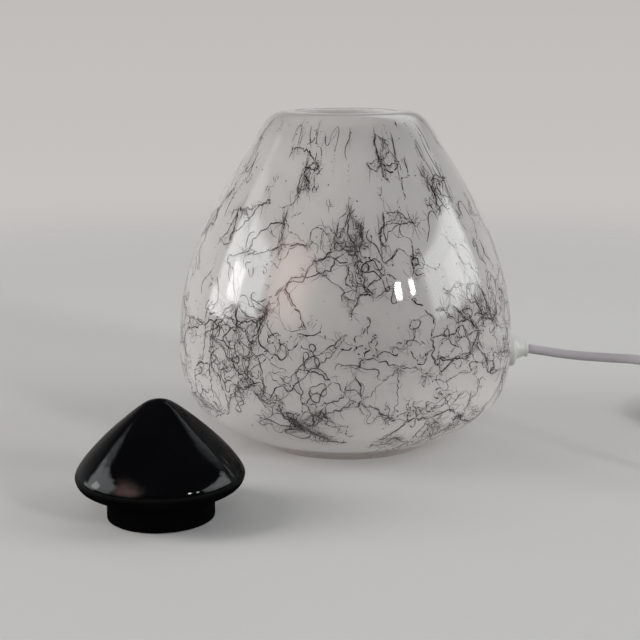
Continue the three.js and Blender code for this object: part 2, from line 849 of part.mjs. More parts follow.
// Least clear distance between stretches of the tube that aren't neighbours along it
function leastGap(points, diameter) {
  let least = Infinity;
  const apart = Math.round(coil.stepsPerTurn / 2);
  for (let i = 0; i < points.length; i += 1) {
    for (let j = i + apart; j < points.length; j += 1) {
      least = Math.min(least, points[i].distanceTo(points[j]));
    }
  }
  return least - diameter;
}

function buildCoil(start) {
  const wound = coilPoints(start);
  add("cord_coil", woundTube(wound.points, cord.diameter / 2, coil.sides), "cordPlastic");
  console.log("least gap of the coil to itself: " + leastGap(wound.points, cord.diameter).toFixed(2) + " mm");

  const innerRadius = wound.outerRadius - coil.layerTurns * coil.pitch;
  const wide = wound.outerRadius - innerRadius + cord.diameter + 2 * tie.play;
  const tall = coil.pitch + cord.diameter + 2 * tie.play;
  const outer = roundedRectangle(new THREE.Shape(), wide + 2 * tie.band, tall + 2 * tie.band, tie.round + tie.band);
  outer.holes.push(roundedRectangle(new THREE.Path(), wide, tall, tie.round));
  const band = new THREE.ExtrudeGeometry(outer, { depth: tie.width, bevelEnabled: false, curveSegments: 4 });
  band.translate(0, 0, -tie.width / 2).rotateX(Math.PI / 2);
  const turn = tie.turnShare * 2 * Math.PI;
  const mesh = add("cord_tie", band, "blackRubber");
  mesh.rotation.z = turn;
  mesh.position.copy(wound.centre);
  mesh.position.x += ((wound.outerRadius + innerRadius) / 2) * Math.cos(turn);
  mesh.position.y += ((wound.outerRadius + innerRadius) / 2) * Math.sin(turn);
  mesh.position.z = wound.low + coil.pitch / 2;
  return wound.points.at(-1);
}

function buildPlug(cordEnd) {
  const frame = frameAt(cordEnd.x, cordEnd.y + touch);
  frame.position.z = cordEnd.z;
  const relief = turned([
    [0, 0],
    [plug.reliefEndRadius, 0],
    [plug.reliefRadius, plug.relief],
    [0, plug.relief],
  ]).rotateX(-Math.PI / 2);
  add("plug_relief", relief, "whitePlastic", frame);

  const bodyLow = plug.relief + touch;
  const bodyHigh = bodyLow + plug.length;
  const neckHalf = plug.neckWidth / 2;
  const faceHalf = plug.face / 2;
  const shape = new THREE.Shape();
  shape.moveTo(-neckHalf, bodyLow);
  shape.lineTo(neckHalf, bodyLow);
  shape.bezierCurveTo(
    neckHalf, bodyLow + plug.neckLength,
    faceHalf, bodyLow + plug.neckLength,
    faceHalf, bodyLow + 2 * plug.neckLength,
  );
  shape.lineTo(faceHalf, bodyHigh);
  shape.lineTo(-faceHalf, bodyHigh);
  shape.lineTo(-faceHalf, bodyLow + 2 * plug.neckLength);
  shape.bezierCurveTo(
    -faceHalf, bodyLow + plug.neckLength,
    -neckHalf, bodyLow + plug.neckLength,
    -neckHalf, bodyLow,
  );
  const bevel = { bevelThickness: plug.edge, bevelSize: plug.edge, bevelOffset: -plug.edge, bevelSegments: 2 };
  const depth = plug.thickness - 2 * plug.edge;
  const body = new THREE.ExtrudeGeometry(shape, { depth, curveSegments: 6, ...bevel });
  body.translate(0, 0, plug.edge - plug.thickness / 2);
  add("plug_body", body, "whitePlastic", frame);

  [-1, 1].forEach((side, i) => {
    const root = bodyHigh + touch;
    const pin = turned([
      [0, root],
      [plug.pinCoreRadius, root],
      [plug.pinCoreRadius, root + plug.sleeve],
      [plug.pinRadius, root + plug.sleeve],
      [plug.pinRadius, root + plug.pinReach - plug.pinCoreRadius],
      [plug.pinCoreRadius, root + plug.pinReach],
      [0, root + plug.pinReach],
    ]).rotateX(-Math.PI / 2);
    add("plug_pin_" + (i + 1), pin, "nickel", frame).position.x = (side * plug.pinSpacing) / 2;
    const sleeveHigh = root + plug.sleeve - touch;
    const sleeve = disc(plug.sleeveRadius, root, sleeveHigh, plug.pinCoreRadius + touch).rotateX(-Math.PI / 2);
    add("plug_sleeve_" + (i + 1), sleeve, "blackRubber", frame).position.x = (side * plug.pinSpacing) / 2;
  });
}

buildBody();
buildLid();
const bushingEnds = buildBushing();
buildHolder();
buildBulb();
buildLead(bushingEnds);
const freeEnd = buildCord();
const switchEnd = buildSwitch(freeEnd);
const coilEnd = buildCoil(switchEnd);
buildPlug(coilEnd);

export default lamp;
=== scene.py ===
"""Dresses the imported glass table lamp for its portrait: glass, threads, cord, fittings and a pale stage."""

import json
import math
import random

import bmesh
import bpy
from mathutils import Matrix, Vector, noise

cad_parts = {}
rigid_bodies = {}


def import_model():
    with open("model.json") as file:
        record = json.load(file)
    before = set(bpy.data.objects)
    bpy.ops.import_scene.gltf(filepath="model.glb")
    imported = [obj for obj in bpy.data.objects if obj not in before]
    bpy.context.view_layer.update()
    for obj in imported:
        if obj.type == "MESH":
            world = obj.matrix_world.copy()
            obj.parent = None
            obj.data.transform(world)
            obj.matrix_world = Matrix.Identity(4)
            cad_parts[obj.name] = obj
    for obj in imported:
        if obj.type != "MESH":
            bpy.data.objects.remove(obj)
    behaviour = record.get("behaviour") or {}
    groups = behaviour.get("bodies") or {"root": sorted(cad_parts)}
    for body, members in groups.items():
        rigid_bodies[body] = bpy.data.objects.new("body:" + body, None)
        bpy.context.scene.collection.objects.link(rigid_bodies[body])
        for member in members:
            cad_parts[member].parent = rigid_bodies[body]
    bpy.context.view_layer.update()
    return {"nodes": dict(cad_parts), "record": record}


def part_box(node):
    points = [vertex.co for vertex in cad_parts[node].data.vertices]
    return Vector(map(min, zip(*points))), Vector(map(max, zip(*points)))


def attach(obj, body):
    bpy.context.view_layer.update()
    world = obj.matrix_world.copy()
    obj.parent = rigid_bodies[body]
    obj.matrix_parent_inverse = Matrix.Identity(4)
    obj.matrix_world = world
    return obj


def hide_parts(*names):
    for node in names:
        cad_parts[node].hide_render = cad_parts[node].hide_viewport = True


bl_info = {
    "name": "Glass table lamp",
    "version": (1, 0, 0),
    "blender": (4, 5, 0),
    "location": "3D View > Sidebar > Lamp",
    "description": "Glass, threads, cord, fittings and stage for a packed table lamp",
    "category": "Object",
}

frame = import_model()

BODY_RADIUS, _, BODY_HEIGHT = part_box("glass_body")[1]
LID_LOW, LID_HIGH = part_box("lid")

# [radius, height] shares of the glass body's outside, from the foot up
BODY_SHARES = [
    (0.516, 0), (0.625, 0.031), (0.765, 0.071), (0.893, 0.119), (0.965, 0.18), (0.995, 0.25),
    (1, 0.31), (0.984, 0.42), (0.941, 0.52), (0.872, 0.62), (0.778, 0.72), (0.668, 0.82),
    (0.568, 0.9), (0.506, 0.95), (0.458, 0.98), (0.405, 0.996), (0.358, 1),
]
BODY_WALL = 0.005
BODY_FLOOR = 0.008
NECK_RADIUS = 0.0262
RIM = 0.007
MOUTH_ROUND = 0.0004

# [radius, height above the collar] shares of the lid's dome, from its seat to its tip
LID_SHARES = [
    (0.8, 0), (0.875, 0.018), (0.945, 0.058), (0.988, 0.115), (0.998, 0.185), (0.944, 0.28),
    (0.825, 0.42), (0.65, 0.589), (0.449, 0.756), (0.244, 0.907), (0.132, 0.97), (0, 1),
]
LID_COLLAR = 0.0132
LID_COLLAR_RADIUS = 0.0251
LID_WALL = 0.004

# Route of the cord from the bushing to the switch
ROUTE = [
    (0.1011, 0, 0.0494), (0.1095, -0.0003, 0.0482), (0.118, -0.0024, 0.0473), (0.127, -0.007, 0.0472),
    (0.136, -0.0142, 0.048), (0.145, -0.0242, 0.0496), (0.1536, -0.0364, 0.0516), (0.161, -0.0492, 0.0518),
    (0.1675, -0.062, 0.0484), (0.1736, -0.0746, 0.0408), (0.1796, -0.0866, 0.0306), (0.186, -0.098, 0.02),
    (0.1934, -0.1084, 0.0112), (0.2024, -0.1174, 0.0053), (0.2132, -0.1238, 0.0029), (0.2254, -0.126, 0.0026),
    (0.2376, -0.1238, 0.0026), (0.2484, -0.117, 0.0027), (0.2564, -0.1072, 0.0035), (0.2612, -0.0954, 0.0058),
    (0.2628, -0.0836, 0.0083), (0.263, -0.075, 0.009),
]
CORD_HEIGHT = ROUTE[0][2]
SWITCH_END = (0.263, -0.0104, 0.009)
COIL_RADIUS = 0.039625
COIL_TURNS = 3.5  # in each of its two layers
COIL_PITCH = 0.0055
COIL_LOW = 0.0037
COIL_CLIMB = 0.25
COIL_LEAD_IN = 0.044
COIL_LEAD_OUT = 0.032
COIL_END_HEIGHT = 0.007
TURN_STEPS = 48

CORD_DIAMETER = 0.005
# Shares of the way across, of the body's radius to the side and of its height, for the lead inside the glass
LEAD_SHARES = [
    (0.26, 0.06, -0.06), (0.44, 0.15, -0.12), (0.6, 0.19, -0.14), (0.72, 0.15, -0.1), (0.82, 0.06, -0.03),
]
LEAD_START = 0.0777
LEAD_END_HEIGHT = 0.0414
BORE_RADIUS = 0.0055  # of the hole in the glass

TINY = 1e-7
FULL = 2 * math.pi
# Sides of the round pieces
GLASS_SEGMENTS = 160
LID_SEGMENTS = 256
WIDE_SEGMENTS = 96
SMALL_SEGMENTS = 48

# How many of each motif go round the glass
TANGLES = 20
MIDDLE_NETS = 18
ARCS = 150
SHOULDER_NETS = 14
STREAKS = 90
CURLS = 50
CLOTS = 44
LOW_STRANDS = 26
LOOSE_GRAINS = 420
BUBBLE_SHARE = 0.008  # of the points of the threads


class LampGlassSizes(bpy.types.PropertyGroup):
    casing: bpy.props.FloatProperty(
        name="Casing", description="Depth of clear glass over the opal core", default=0.0021, unit="LENGTH"
    )
    lip: bpy.props.FloatProperty(
        name="Lip", description="Height of clear glass over the opal at the rim", default=0.0005,
        unit="LENGTH",
    )
    foot: bpy.props.FloatProperty(
        name="Foot", description="Height of clear glass under the opal", default=0.0028, unit="LENGTH"
    )
    opal: bpy.props.FloatVectorProperty(
        name="Opal", description="Colour of the opal core", default=(0.472, 0.456, 0.446),
        subtype="COLOR", size=3,
    )
    # Also the base of the painted shade at the shoulder and the foot
    opal_shade: bpy.props.FloatVectorProperty(
        name="Opal shade", description="Colour of its thinner places", default=(0.437, 0.42, 0.409),
        subtype="COLOR", size=3,
    )
    black: bpy.props.FloatVectorProperty(
        name="Lid", description="Colour of the black glass", default=(0.0012, 0.0012, 0.0015),
        subtype="COLOR", size=3,
    )


class LampThreadSizes(bpy.types.PropertyGroup):
    width: bpy.props.FloatProperty(
        name="Width", description="Mean half width of a thread", default=0.00016, unit="LENGTH"
    )
    fuzz_width: bpy.props.FloatProperty(
        name="Fuzz width", description="Half width of the hairs round the tangles", default=0.0001,
        unit="LENGTH",
    )
    seed: bpy.props.IntProperty(name="Seed", description="Seed of the threads' layout", default=11)
    dark: bpy.props.FloatVectorProperty(
        name="Thread", description="Colour of a thread", default=(0.008, 0.006, 0.0055),
        subtype="COLOR", size=3,
    )
    faint: bpy.props.FloatVectorProperty(
        name="Faint thread", description="Colour of a thread sunk in the opal", default=(0.15, 0.13, 0.12),
        subtype="COLOR", size=3,
    )


class LampFittingColours(bpy.types.PropertyGroup):
    cord: bpy.props.FloatVectorProperty(
        name="Cord", description="Colour of the cord", default=(0.385, 0.363, 0.387), subtype="COLOR", size=3
    )
    white: bpy.props.FloatVectorProperty(
        name="White plastic", description="Colour of the bushing and plug", default=(0.53, 0.528, 0.503),
        subtype="COLOR", size=3,
    )
    ivory: bpy.props.FloatVectorProperty(
        name="Ivory plastic", description="Colour of the holder and switch", default=(0.66, 0.63, 0.58),
        subtype="COLOR", size=3,
    )


class LampStageSizes(bpy.types.PropertyGroup):
    floor: bpy.props.FloatVectorProperty(
        name="Floor", description="Colour of the floor", default=(0.49, 0.484, 0.478), subtype="COLOR", size=3
    )
    backdrop: bpy.props.FloatVectorProperty(
        name="Backdrop", description="Colour behind everything", default=(0.565, 0.545, 0.53),
        subtype="COLOR", size=3,
    )
    ambient: bpy.props.FloatProperty(
        name="Ambient", description="Share of the floor's light that comes from all round", default=0.3, min=0
    )
    glow: bpy.props.FloatProperty(
        name="Glow", description="Brightness of the windows in reflections", default=6, min=0
    )


# Shader maths
class Wire:
    """One output of a shader node. Arithmetic on it adds Math nodes."""

    def __init__(self, nodes, socket):
        self.nodes = nodes
        self.socket = socket

    def _do(self, operation, a, b, clamp=False):
        return self.nodes.node("ShaderNodeMath", {"operation": operation, "use_clamp": clamp}, {0: a, 1: b})

    def __add__(self, other):
        return self._do("ADD", self, other)

    def __radd__(self, other):
        return self._do("ADD", other, self)

    def __sub__(self, other):
        return self._do("SUBTRACT", self, other)

    def __rsub__(self, other):
        return self._do("SUBTRACT", other, self)

    def __mul__(self, other):
        return self._do("MULTIPLY", self, other)

    def __rmul__(self, other):
        return self._do("MULTIPLY", other, self)

    def clamped(self):
        return self._do("ADD", self, 0.0, clamp=True)

    def beside(self, out):
        """Another output of the same node."""
        return Wire(self.nodes, self.socket.node.outputs[out])


class Nodes:
    """A shader tree that is built node by node."""

    def __init__(self, tree):
        self.tree = tree

    def node(self, kind, settings=None, sockets=None, out=0):
        made = self.tree.nodes.new(kind)
        for key, value in (settings or {}).items():
            if key == "stops":
                self.set_stops(made.color_ramp.elements, value)
            else:
                setattr(made, key, value)
        for key, value in (sockets or {}).items():
            self.join(value, made.inputs[key])
        return Wire(self, made.outputs[out])

    def set_stops(self, elements, stops):
        while len(elements) > 1:
            elements.remove(elements[-1])
        for i, (place, colour) in enumerate(stops):
            stop = elements.new(place) if i else elements[0]
            stop.position = place
            stop.color = (*colour, 1)

    def join(self, value, socket):
        if isinstance(value, Wire):
            self.tree.links.new(value.socket, socket)
        elif socket.type == "RGBA":
            socket.default_value = (*value, 1)
        else:
            socket.default_value = value

    def place(self):
        return self.node("ShaderNodeTexCoord", out="Object")

    def axis(self, vector, k):
        """X, Y or Z of a vector, by 0, 1 or 2."""
        return self.node("ShaderNodeSeparateXYZ", sockets={0: vector}, out=k)

    def noise(self, scale, detail=3.0, roughness=0.5, vector=None):
        sockets = {"Vector": vector or self.place(), "Scale": scale, "Detail": detail, "Roughness": roughness}
        return self.node("ShaderNodeTexNoise", sockets=sockets)

    def stretched(self, scale):
        return self.node("ShaderNodeMapping", sockets={"Vector": self.place(), "Scale": scale})

    def blend(self, share, first, second):
        """A colour between two, by a share from 0 to 1."""
        return self.node("ShaderNodeMix", {"data_type": "RGBA"}, {0: share, 6: first, 7: second}, out=2)

    def ramp(self, share, stops):
        return self.node("ShaderNodeValToRGB", {"stops": stops}, {"Fac": share})

    def grey(self, share, low, high, to_low, to_high, way="LINEAR"):
        """The share from low to high spread over to_low to to_high, and held beyond."""
        sockets = {0: share, 1: low, 2: high, 3: to_low, 4: to_high}
        return self.node("ShaderNodeMapRange", {"clamp": True, "interpolation_type": way}, sockets)

    def softened(self, across, soft):
        """From 0 at both edges of a span of 0 to 1 up to 1 inside it."""
        edge = self.node("ShaderNodeMath", {"operation": "MINIMUM"}, {0: across, 1: 1 - across})
        return self.grey(edge, 0.0, soft / 2, 0.0, 1.0, "SMOOTHSTEP")

    def bump(self, height, strength, distance):
        sockets = {"Height": height, "Strength": strength, "Distance": distance}
        return self.node("ShaderNodeBump", sockets=sockets)

    def height(self):
        return self.axis(self.place(), 2)

    def off_axis(self):
        """The distance from the upright axis."""
        flat = self.node("ShaderNodeVectorMath", {"operation": "MULTIPLY"}, {0: self.place(), 1: (1, 1, 0)})
        return self.node("ShaderNodeVectorMath", {"operation": "LENGTH"}, {0: flat}, out="Value")


class Finish(Nodes):
    """A material that is built round one Principled shader."""

    def __init__(self, name):
        self.material = bpy.data.materials.new(name)
        self.material.use_nodes = True
        super().__init__(self.material.node_tree)
        self.shader = self.tree.nodes["Principled BSDF"]
        self.output = self.tree.nodes["Material Output"]

    def surface(self, sockets):
        for key, value in sockets.items():
            self.join(value, self.shader.inputs[key])
        return self.material


def scaled(colour, *shares):
    """A colour times one share, or times one for each channel."""
    shares = shares if len(shares) == 3 else shares * 3
    return tuple(c * k for c, k in zip(colour, shares))


# Curves and meshes
def smooth_through(points, count):
    """Points of a smooth curve through the given ones, evenly by their order."""
    points = [Vector(p) for p in points]
    last = len(points) - 1
    made = []
    for i in range(count + 1):
        at = i / count * last
        k = min(int(at), last - 1)
        t = at - k
        before, start, end, after = points[max(k - 1, 0)], points[k], points[k + 1], points[min(k + 2, last)]
        out, into = (end - before) / 2, (after - start) / 2
        a = 2 * start - 2 * end + out + into
        b = -3 * start + 3 * end - 2 * out - into
        made.append(((a * t + b) * t + out) * t + start)
    return made


def rounded_through(points, step):
    """Places a step apart along the centripetal curve through the points, whose ends run straight on."""
    points = [Vector(p) for p in points]
    first, last = 2 * points[0] - points[1], 2 * points[-1] - points[-2]
    points = [first, *points, last]
    fine = []
    for p0, p1, p2, p3 in zip(points, points[1:], points[2:], points[3:]):
        t1 = (p1 - p0).length ** 0.5
        t2 = t1 + (p2 - p1).length ** 0.5
        t3 = t2 + (p3 - p2).length ** 0.5
        for i in range(24):
            t = t1 + (t2 - t1) * i / 24
            a1 = p0 * ((t1 - t) / t1) + p1 * (t / t1)
            a2 = p1 * ((t2 - t) / (t2 - t1)) + p2 * ((t - t1) / (t2 - t1))
            a3 = p2 * ((t3 - t) / (t3 - t2)) + p3 * ((t - t2) / (t3 - t2))
            b1 = a1 * ((t2 - t) / t2) + a2 * (t / t2)
            b2 = a2 * ((t3 - t) / (t3 - t1)) + a3 * ((t - t1) / (t3 - t1))
            fine.append(b1 * ((t2 - t) / (t2 - t1)) + b2 * ((t - t1) / (t2 - t1)))
    fine.append(points[-2])
    return evenly(fine, step)


def evenly(points, step):
    """The row of points again, a step apart along it."""
    lengths = [0.0]
    for a, b in zip(points, points[1:]):
        lengths.append(lengths[-1] + (b - a).length)
    count = max(round(lengths[-1] / step), 2)
    made, k = [], 0
    for i in range(count + 1):
        at = lengths[-1] * i / count
        while k < len(lengths) - 2 and lengths[k + 1] < at:
            k += 1
        span = lengths[k + 1] - lengths[k]
        made.append(points[k].lerp(points[k + 1], (at - lengths[k]) / span if span else 0))
    return made


def smooth_step(value, low, high):
    share = min(max((value - low) / (high - low), 0), 1)
    return share * share * (3 - 2 * share)


def path_length(points):
    return sum((b - a).length for a, b in zip(points, points[1:]))


def placed(name, mesh, smooth=True):
    """The mesh as a new object of the scene."""
    mesh.polygons.foreach_set("use_smooth", [smooth] * len(mesh.polygons))
    made = bpy.data.objects.new(name, mesh)
    bpy.context.scene.collection.objects.link(made)
    return made


def piece(name, vertices, faces, material=None, smooth=True, uvs=None):
    """A new mesh object with its place in its vertices."""
    mesh = bpy.data.meshes.new(name)
    mesh.from_pydata([tuple(v) for v in vertices], [], faces)
    if uvs:
        layer = mesh.uv_layers.new(name="UVMap")
        for loop, uv in zip(layer.data, uvs):
            loop.uv = uv
    if material:
        mesh.materials.append(material)
    return placed(name, mesh, smooth)


def round_of(radius, height, count):
    """Places round a circle about Z."""
    angles = [FULL * i / count for i in range(count)]
    return [Vector((radius * math.cos(a), radius * math.sin(a), height)) for a in angles]


def turned(name, outline, segments, material=None, place=None, sharp=None):
    """A solid of revolution about Z, from [radius, height] places whose ends are on the axis or close up.

    place moves it from its axis to where it belongs. Edges sharper than sharp degrees stay crisp.
    """
    closed = outline[0] == outline[-1]
    if closed:
        outline = outline[:-1]
    area = sum(r * z2 - r2 * z for (r, z), (r2, z2) in zip(outline, outline[1:] + outline[:1]))
    if area < 0:
        outline = outline[::-1]
    vertices, rings = [], []
    for r, z in outline:
        if r < TINY:
            rings.append([len(vertices)] * segments)
            vertices.append(Vector((0, 0, z)))
        else:
            rings.append([len(vertices) + i for i in range(segments)])
            vertices += round_of(r, z, segments)
    faces = []
    if closed:
        rings.append(rings[0])
    for low, high in zip(rings, rings[1:]):
        for i in range(segments):
            j = (i + 1) % segments
            face = [low[i], low[j], high[j], high[i]]
            face = [v for k, v in enumerate(face) if v not in face[:k]]
            if len(face) > 2:
                faces.append(face)
    if place:
        vertices = [place @ v for v in vertices]
    made = piece(name, vertices, faces, material)
    if sharp:
        crisp(made, sharp)
    return made


def crisp(made, degrees):
    """Marks the edges that are sharper than an angle."""
    mesh = made.data
    whole = bmesh.new()
    whole.from_mesh(mesh)
    for edge in whole.edges:
        edge.smooth = len(edge.link_faces) == 2 and edge.calc_face_angle(0) < math.radians(degrees)
    whole.to_mesh(mesh)
    whole.free()


def eased(outline, radius):
    """The outline with its inner corners eased by short arcs."""
    parts = 4
    made = [outline[0]]
    for (ax, ay), (bx, by), (cx, cy) in zip(outline, outline[1:], outline[2:]):
        into, out = Vector((bx - ax, by - ay)), Vector((cx - bx, cy - by))
        if min(into.length, out.length) < TINY or into.angle(out) < math.radians(20):
            made.append((bx, by))
            continue
        reach = min(radius, into.length * 0.45, out.length * 0.45)
        corner = Vector((bx, by))
        start = corner - into.normalized() * reach
        end = corner + out.normalized() * reach
        for i in range(parts + 1):
            t = i / parts
            made.append(tuple(start * (1 - t) ** 2 + corner * 2 * t * (1 - t) + end * t * t))
    made.append(outline[-1])
    return made


def bored(made, place, radius, reach):
    """Cuts a round hole along X."""
    place = place @ Matrix.Rotation(math.radians(90), 4, "Y")
    outline = [(0, -reach), (radius, -reach), (radius, reach), (0, reach)]
    drill = turned("drill", outline, SMALL_SEGMENTS, place=place)
    cut = made.modifiers.new("bore", "BOOLEAN")
    cut.operation = "DIFFERENCE"
    cut.solver = "EXACT"
    cut.object = drill
    bpy.context.view_layer.update()
    ready = made.evaluated_get(bpy.context.evaluated_depsgraph_get())
    mesh = bpy.data.meshes.new_from_object(ready)
    made.modifiers.remove(cut)
    made.data = mesh
    bpy.data.objects.remove(drill)


def tube(name, points, radius, sides, material):
    """A round tube through the points, closed at both ends, with its length in V."""
    vertices, faces, uvs, ways = [], [], [], [0.0]
    side = None
    for i, point in enumerate(points):
        ahead, behind = points[min(i + 1, len(points) - 1)], points[max(i - 1, 0)]
        along = (ahead - behind).normalized()
        side = Vector((0, 0, 1)).cross(along) if side is None else side - along * side.dot(along)
        side.normalize()
        over = along.cross(side)
        if i:
            ways.append(ways[-1] + (point - points[i - 1]).length)
        for k in range(sides):
            angle = FULL * k / sides
            vertices.append(point + side * (radius * math.cos(angle)) + over * (radius * math.sin(angle)))
    around = FULL * radius
    for row, (low, high) in enumerate(zip(ways, ways[1:])):
        for k in range(sides):
            j = (k + 1) % sides
            a, b = row * sides, (row + 1) * sides
            faces.append([a + k, a + j, b + j, b + k])
            left, right = around * k / sides, around * (k + 1) / sides
            uvs += [(left, low), (right, low), (right, high), (left, high)]
    end = (len(points) - 1) * sides
    faces.append(list(range(sides - 1, -1, -1)))
    faces.append([end + k for k in range(sides)])
    uvs += [(0, 0)] * sides + [(0, ways[-1])] * sides
    return piece(name, vertices, faces, material, uvs=uvs)


class Skin:
    """The surface that lies a depth inside the outside of the glass body."""

    STEP = 0.0012

    def __init__(self, depth):
        shares = [(r * BODY_RADIUS, z * BODY_HEIGHT, 0) for r, z in BODY_SHARES]
        outside = evenly(smooth_through(shares, 400), self.STEP)
        self.rows = []
        for i, at in enumerate(outside):
            along = (outside[min(i + 1, len(outside) - 1)] - outside[max(i - 1, 0)]).normalized()
            self.rows.append((at.x - along.y * depth, at.y + along.x * depth))
        self.length = path_length(outside)
        self.step = self.length / (len(outside) - 1)

    def at(self, climb):
        """[radius, height] a way up from the foot."""
        share = min(max(climb / self.step, 0), len(self.rows) - 1.001)
        k = int(share)
        (r, z), (r2, z2) = self.rows[k], self.rows[k + 1]
        return r + (r2 - r) * (share - k), z + (z2 - z) * (share - k)

    def climb_to(self, height):
        """The way up to where the outside passes a height."""
        return self.step * next(i for i, (_, z) in enumerate(self.rows) if z > height)

    def place(self, turn, climb):
        r, z = self.at(climb)
        return Vector((r * math.sin(turn), -r * math.cos(turn), z))


# Finishes
def plastic(name, colour, roughness):
    finish = Finish(name)
    cloud = finish.noise(60, 4)
    fine = finish.noise(900, 2)
    return finish.surface({
        "Base Color": finish.blend(finish.grey(cloud, 0.35, 0.65, 0, 1), colour, scaled(colour, 0.93)),
        "Roughness": finish.grey(fine, 0.3, 0.7, roughness - 0.05, roughness + 0.06),
        "Normal": finish.bump(fine, 0.12, 0.0001),
        "Subsurface Weight": 0.08,
        "Subsurface Radius": (1.0, 0.9, 0.8),
        "Subsurface Scale": 0.003,
    })


def metal(name, colour, roughness):
    finish = Finish(name)
    grain = finish.noise(700, 3)
    stain = finish.noise(90, 4)
    return finish.surface({
        "Base Color": finish.blend(finish.grey(stain, 0.4, 0.75, 0, 1), colour, scaled(colour, 0.8)),
        "Metallic": 1.0,
        "Roughness": finish.grey(grain, 0.25, 0.75, roughness - 0.06, roughness + 0.1),
        "Normal": finish.bump(grain, 0.08, 0.0001),
    })


def felt_finish():
    finish = Finish("pressed_felt")
    hairs = finish.noise(2600, 5, 0.7)
    patch = hairs * 0.6 + finish.noise(240, 3) * 0.4
    return finish.surface({
        "Base Color": finish.ramp(patch, [(0.3, (0.045, 0.046, 0.049)), (0.7, (0.11, 0.112, 0.117))]),
        "Roughness": 0.95,
        "Normal": finish.bump(hairs, 0.6, 0.0004),
        "Sheen Weight": 0.3,
    })


def rubber_finish():
    finish = Finish("matt_rubber")
    fine = finish.noise(1500, 4)
    return finish.surface({
        "Base Color": finish.ramp(fine, [(0.3, (0.012, 0.012, 0.013)), (0.75, (0.032, 0.031, 0.033))]),
        "Roughness": finish.grey(fine, 0.3, 0.7, 0.6, 0.8),
        "Normal": finish.bump(fine, 0.25, 0.0001),
    })


def ceramic_finish():
    finish = Finish("thin_glaze")
    pool = finish.noise(120, 3)
    speckled = finish.noise(900, 3) * 0.5 + pool * 0.5
    return finish.surface({
        "Base Color": finish.ramp(speckled, [(0.3, (0.66, 0.63, 0.56)), (0.7, (0.8, 0.78, 0.72))]),
        "Roughness": finish.grey(pool, 0.3, 0.7, 0.16, 0.34),
        "Normal": finish.bump(pool, 0.15, 0.0003),
    })


def dark_glass_finish():
    finish = Finish("dark_glass")
    cloud = finish.noise(400, 3)
    return finish.surface({
        "Base Color": finish.ramp(cloud, [(0.3, (0.01, 0.01, 0.016)), (0.7, (0.035, 0.034, 0.05))]),
        "Roughness": 0.15,
    })


def cord_finish(colour):
    """Soft smooth sheath with the faint lay of the cores inside it, along the cord's own length."""
    finish = Finish("cord_sheath")
    across = finish.axis(finish.node("ShaderNodeUVMap"), 0)
    along = across.beside(1)
    lay = finish.node("ShaderNodeMath", {"operation": "SINE"}, {0: across * 400 + along * 130})
    dust = finish.noise(500, 4)
    cloud = finish.noise(35, 3)
    return finish.surface({
        "Base Color": finish.blend(finish.grey(cloud, 0.35, 0.7, 0, 1), colour, scaled(colour, 0.86)),
        "Roughness": finish.grey(dust, 0.3, 0.7, 0.4, 0.55),
        "Normal": finish.bump(lay * 0.5 + dust * 0.3, 0.1, 0.0002),
    })


def opal_finish(opal, shade):
    """Milky glass in which light scatters, with painted light that whitens it low down, painted shade that
    dims the shoulder and a rosy painted shade at the foot.
    """
    finish = Finish("opal_core")
    height = finish.height()
    cloud = finish.noise(14, 3)
    swirl = finish.noise(40, 4, vector=finish.stretched((1, 1, 0.35)))
    clouded = finish.blend(finish.grey(cloud * 0.6 + swirl * 0.4, 0.35, 0.65, 0, 1), opal, shade)
    # Painted light: the core is whiter low down
    low = finish.grey(height, 0.016, 0.06, 1, 0)
    # Painted shade with a rosy tint: the core is darker at the foot
    foot = finish.grey(height, 0.0085, 0.0105, 1, 0)
    # Painted shade: the core is dimmer at the shoulder and the top
    shoulder = finish.grey(height, 0.157, 0.174, 0, 1)
    milk_with_painted_light_and_shade = finish.blend(low, clouded, scaled(opal, 1.4))
    milk_with_painted_light_and_shade = finish.blend(foot, milk_with_painted_light_and_shade, scaled(shade, 0.8, 0.66, 0.63))
    return finish.surface({
        "Base Color": finish.blend(shoulder, milk_with_painted_light_and_shade, scaled(shade, 0.9)),
        "Roughness": 0.6,
        "Specular IOR Level": 0.0,
        "Subsurface Weight": 1.0,
        "Subsurface Radius": (1.0, 0.95, 0.92),
        "Subsurface Scale": 0.01,
    })


def casing_finish():
    """Clear glass, ground round the mouth, where a grey tint is painted shade that dims the lip's highlights.
    """
    finish = Finish("clear_casing")
    # Painted shade: the glass is grey round the mouth, dimming the lip's highlights
    mouth = finish.grey(finish.off_axis(), 0.0265, 0.0275, 1, 0)
    return finish.surface({
        "Base Color": finish.blend(mouth, (1, 1, 1), (0.6, 0.6, 0.6)),
        "Roughness": finish.grey(finish.noise(30, 3), 0.3, 0.7, 0.0, 0.02) + mouth * 0.4,
        "IOR": 1.5,
        "Transmission Weight": 1.0,
        "Normal": finish.bump(finish.noise(9, 2), 0.05, 0.002),
    })


def black_glass_finish(colour):
    """Deep black under a polished coat, which the underside and collar have less of."""
    finish = Finish("black_glass")
    smear = finish.noise(55, 4, vector=finish.stretched((1, 1, 0.4)))
    return finish.surface({
        "Base Color": finish.blend(finish.grey(smear, 0.4, 0.7, 0, 1), colour, scaled(colour, 1.8)),
        "Roughness": 0.5,
        "Specular IOR Level": 0.0,
        "Coat Weight": finish.grey(finish.height(), 0.0185, 0.0235, 0.01, 0.27),
        "Coat Roughness": 0.05,
        "Coat IOR": 1.65,
        "Normal": finish.bump(finish.noise(28, 3), 0.05, 0.002),
    })


def clear_glass_finish():
    finish = Finish("clear_glass")
    return finish.surface({
        "Base Color": (0.97, 0.98, 0.98),
        "Roughness": finish.grey(finish.noise(60, 3), 0.3, 0.7, 0.0, 0.03),
        "IOR": 1.48,
        "Transmission Weight": 1.0,
        "Normal": finish.bump(finish.noise(25, 2), 0.04, 0.001),
    })


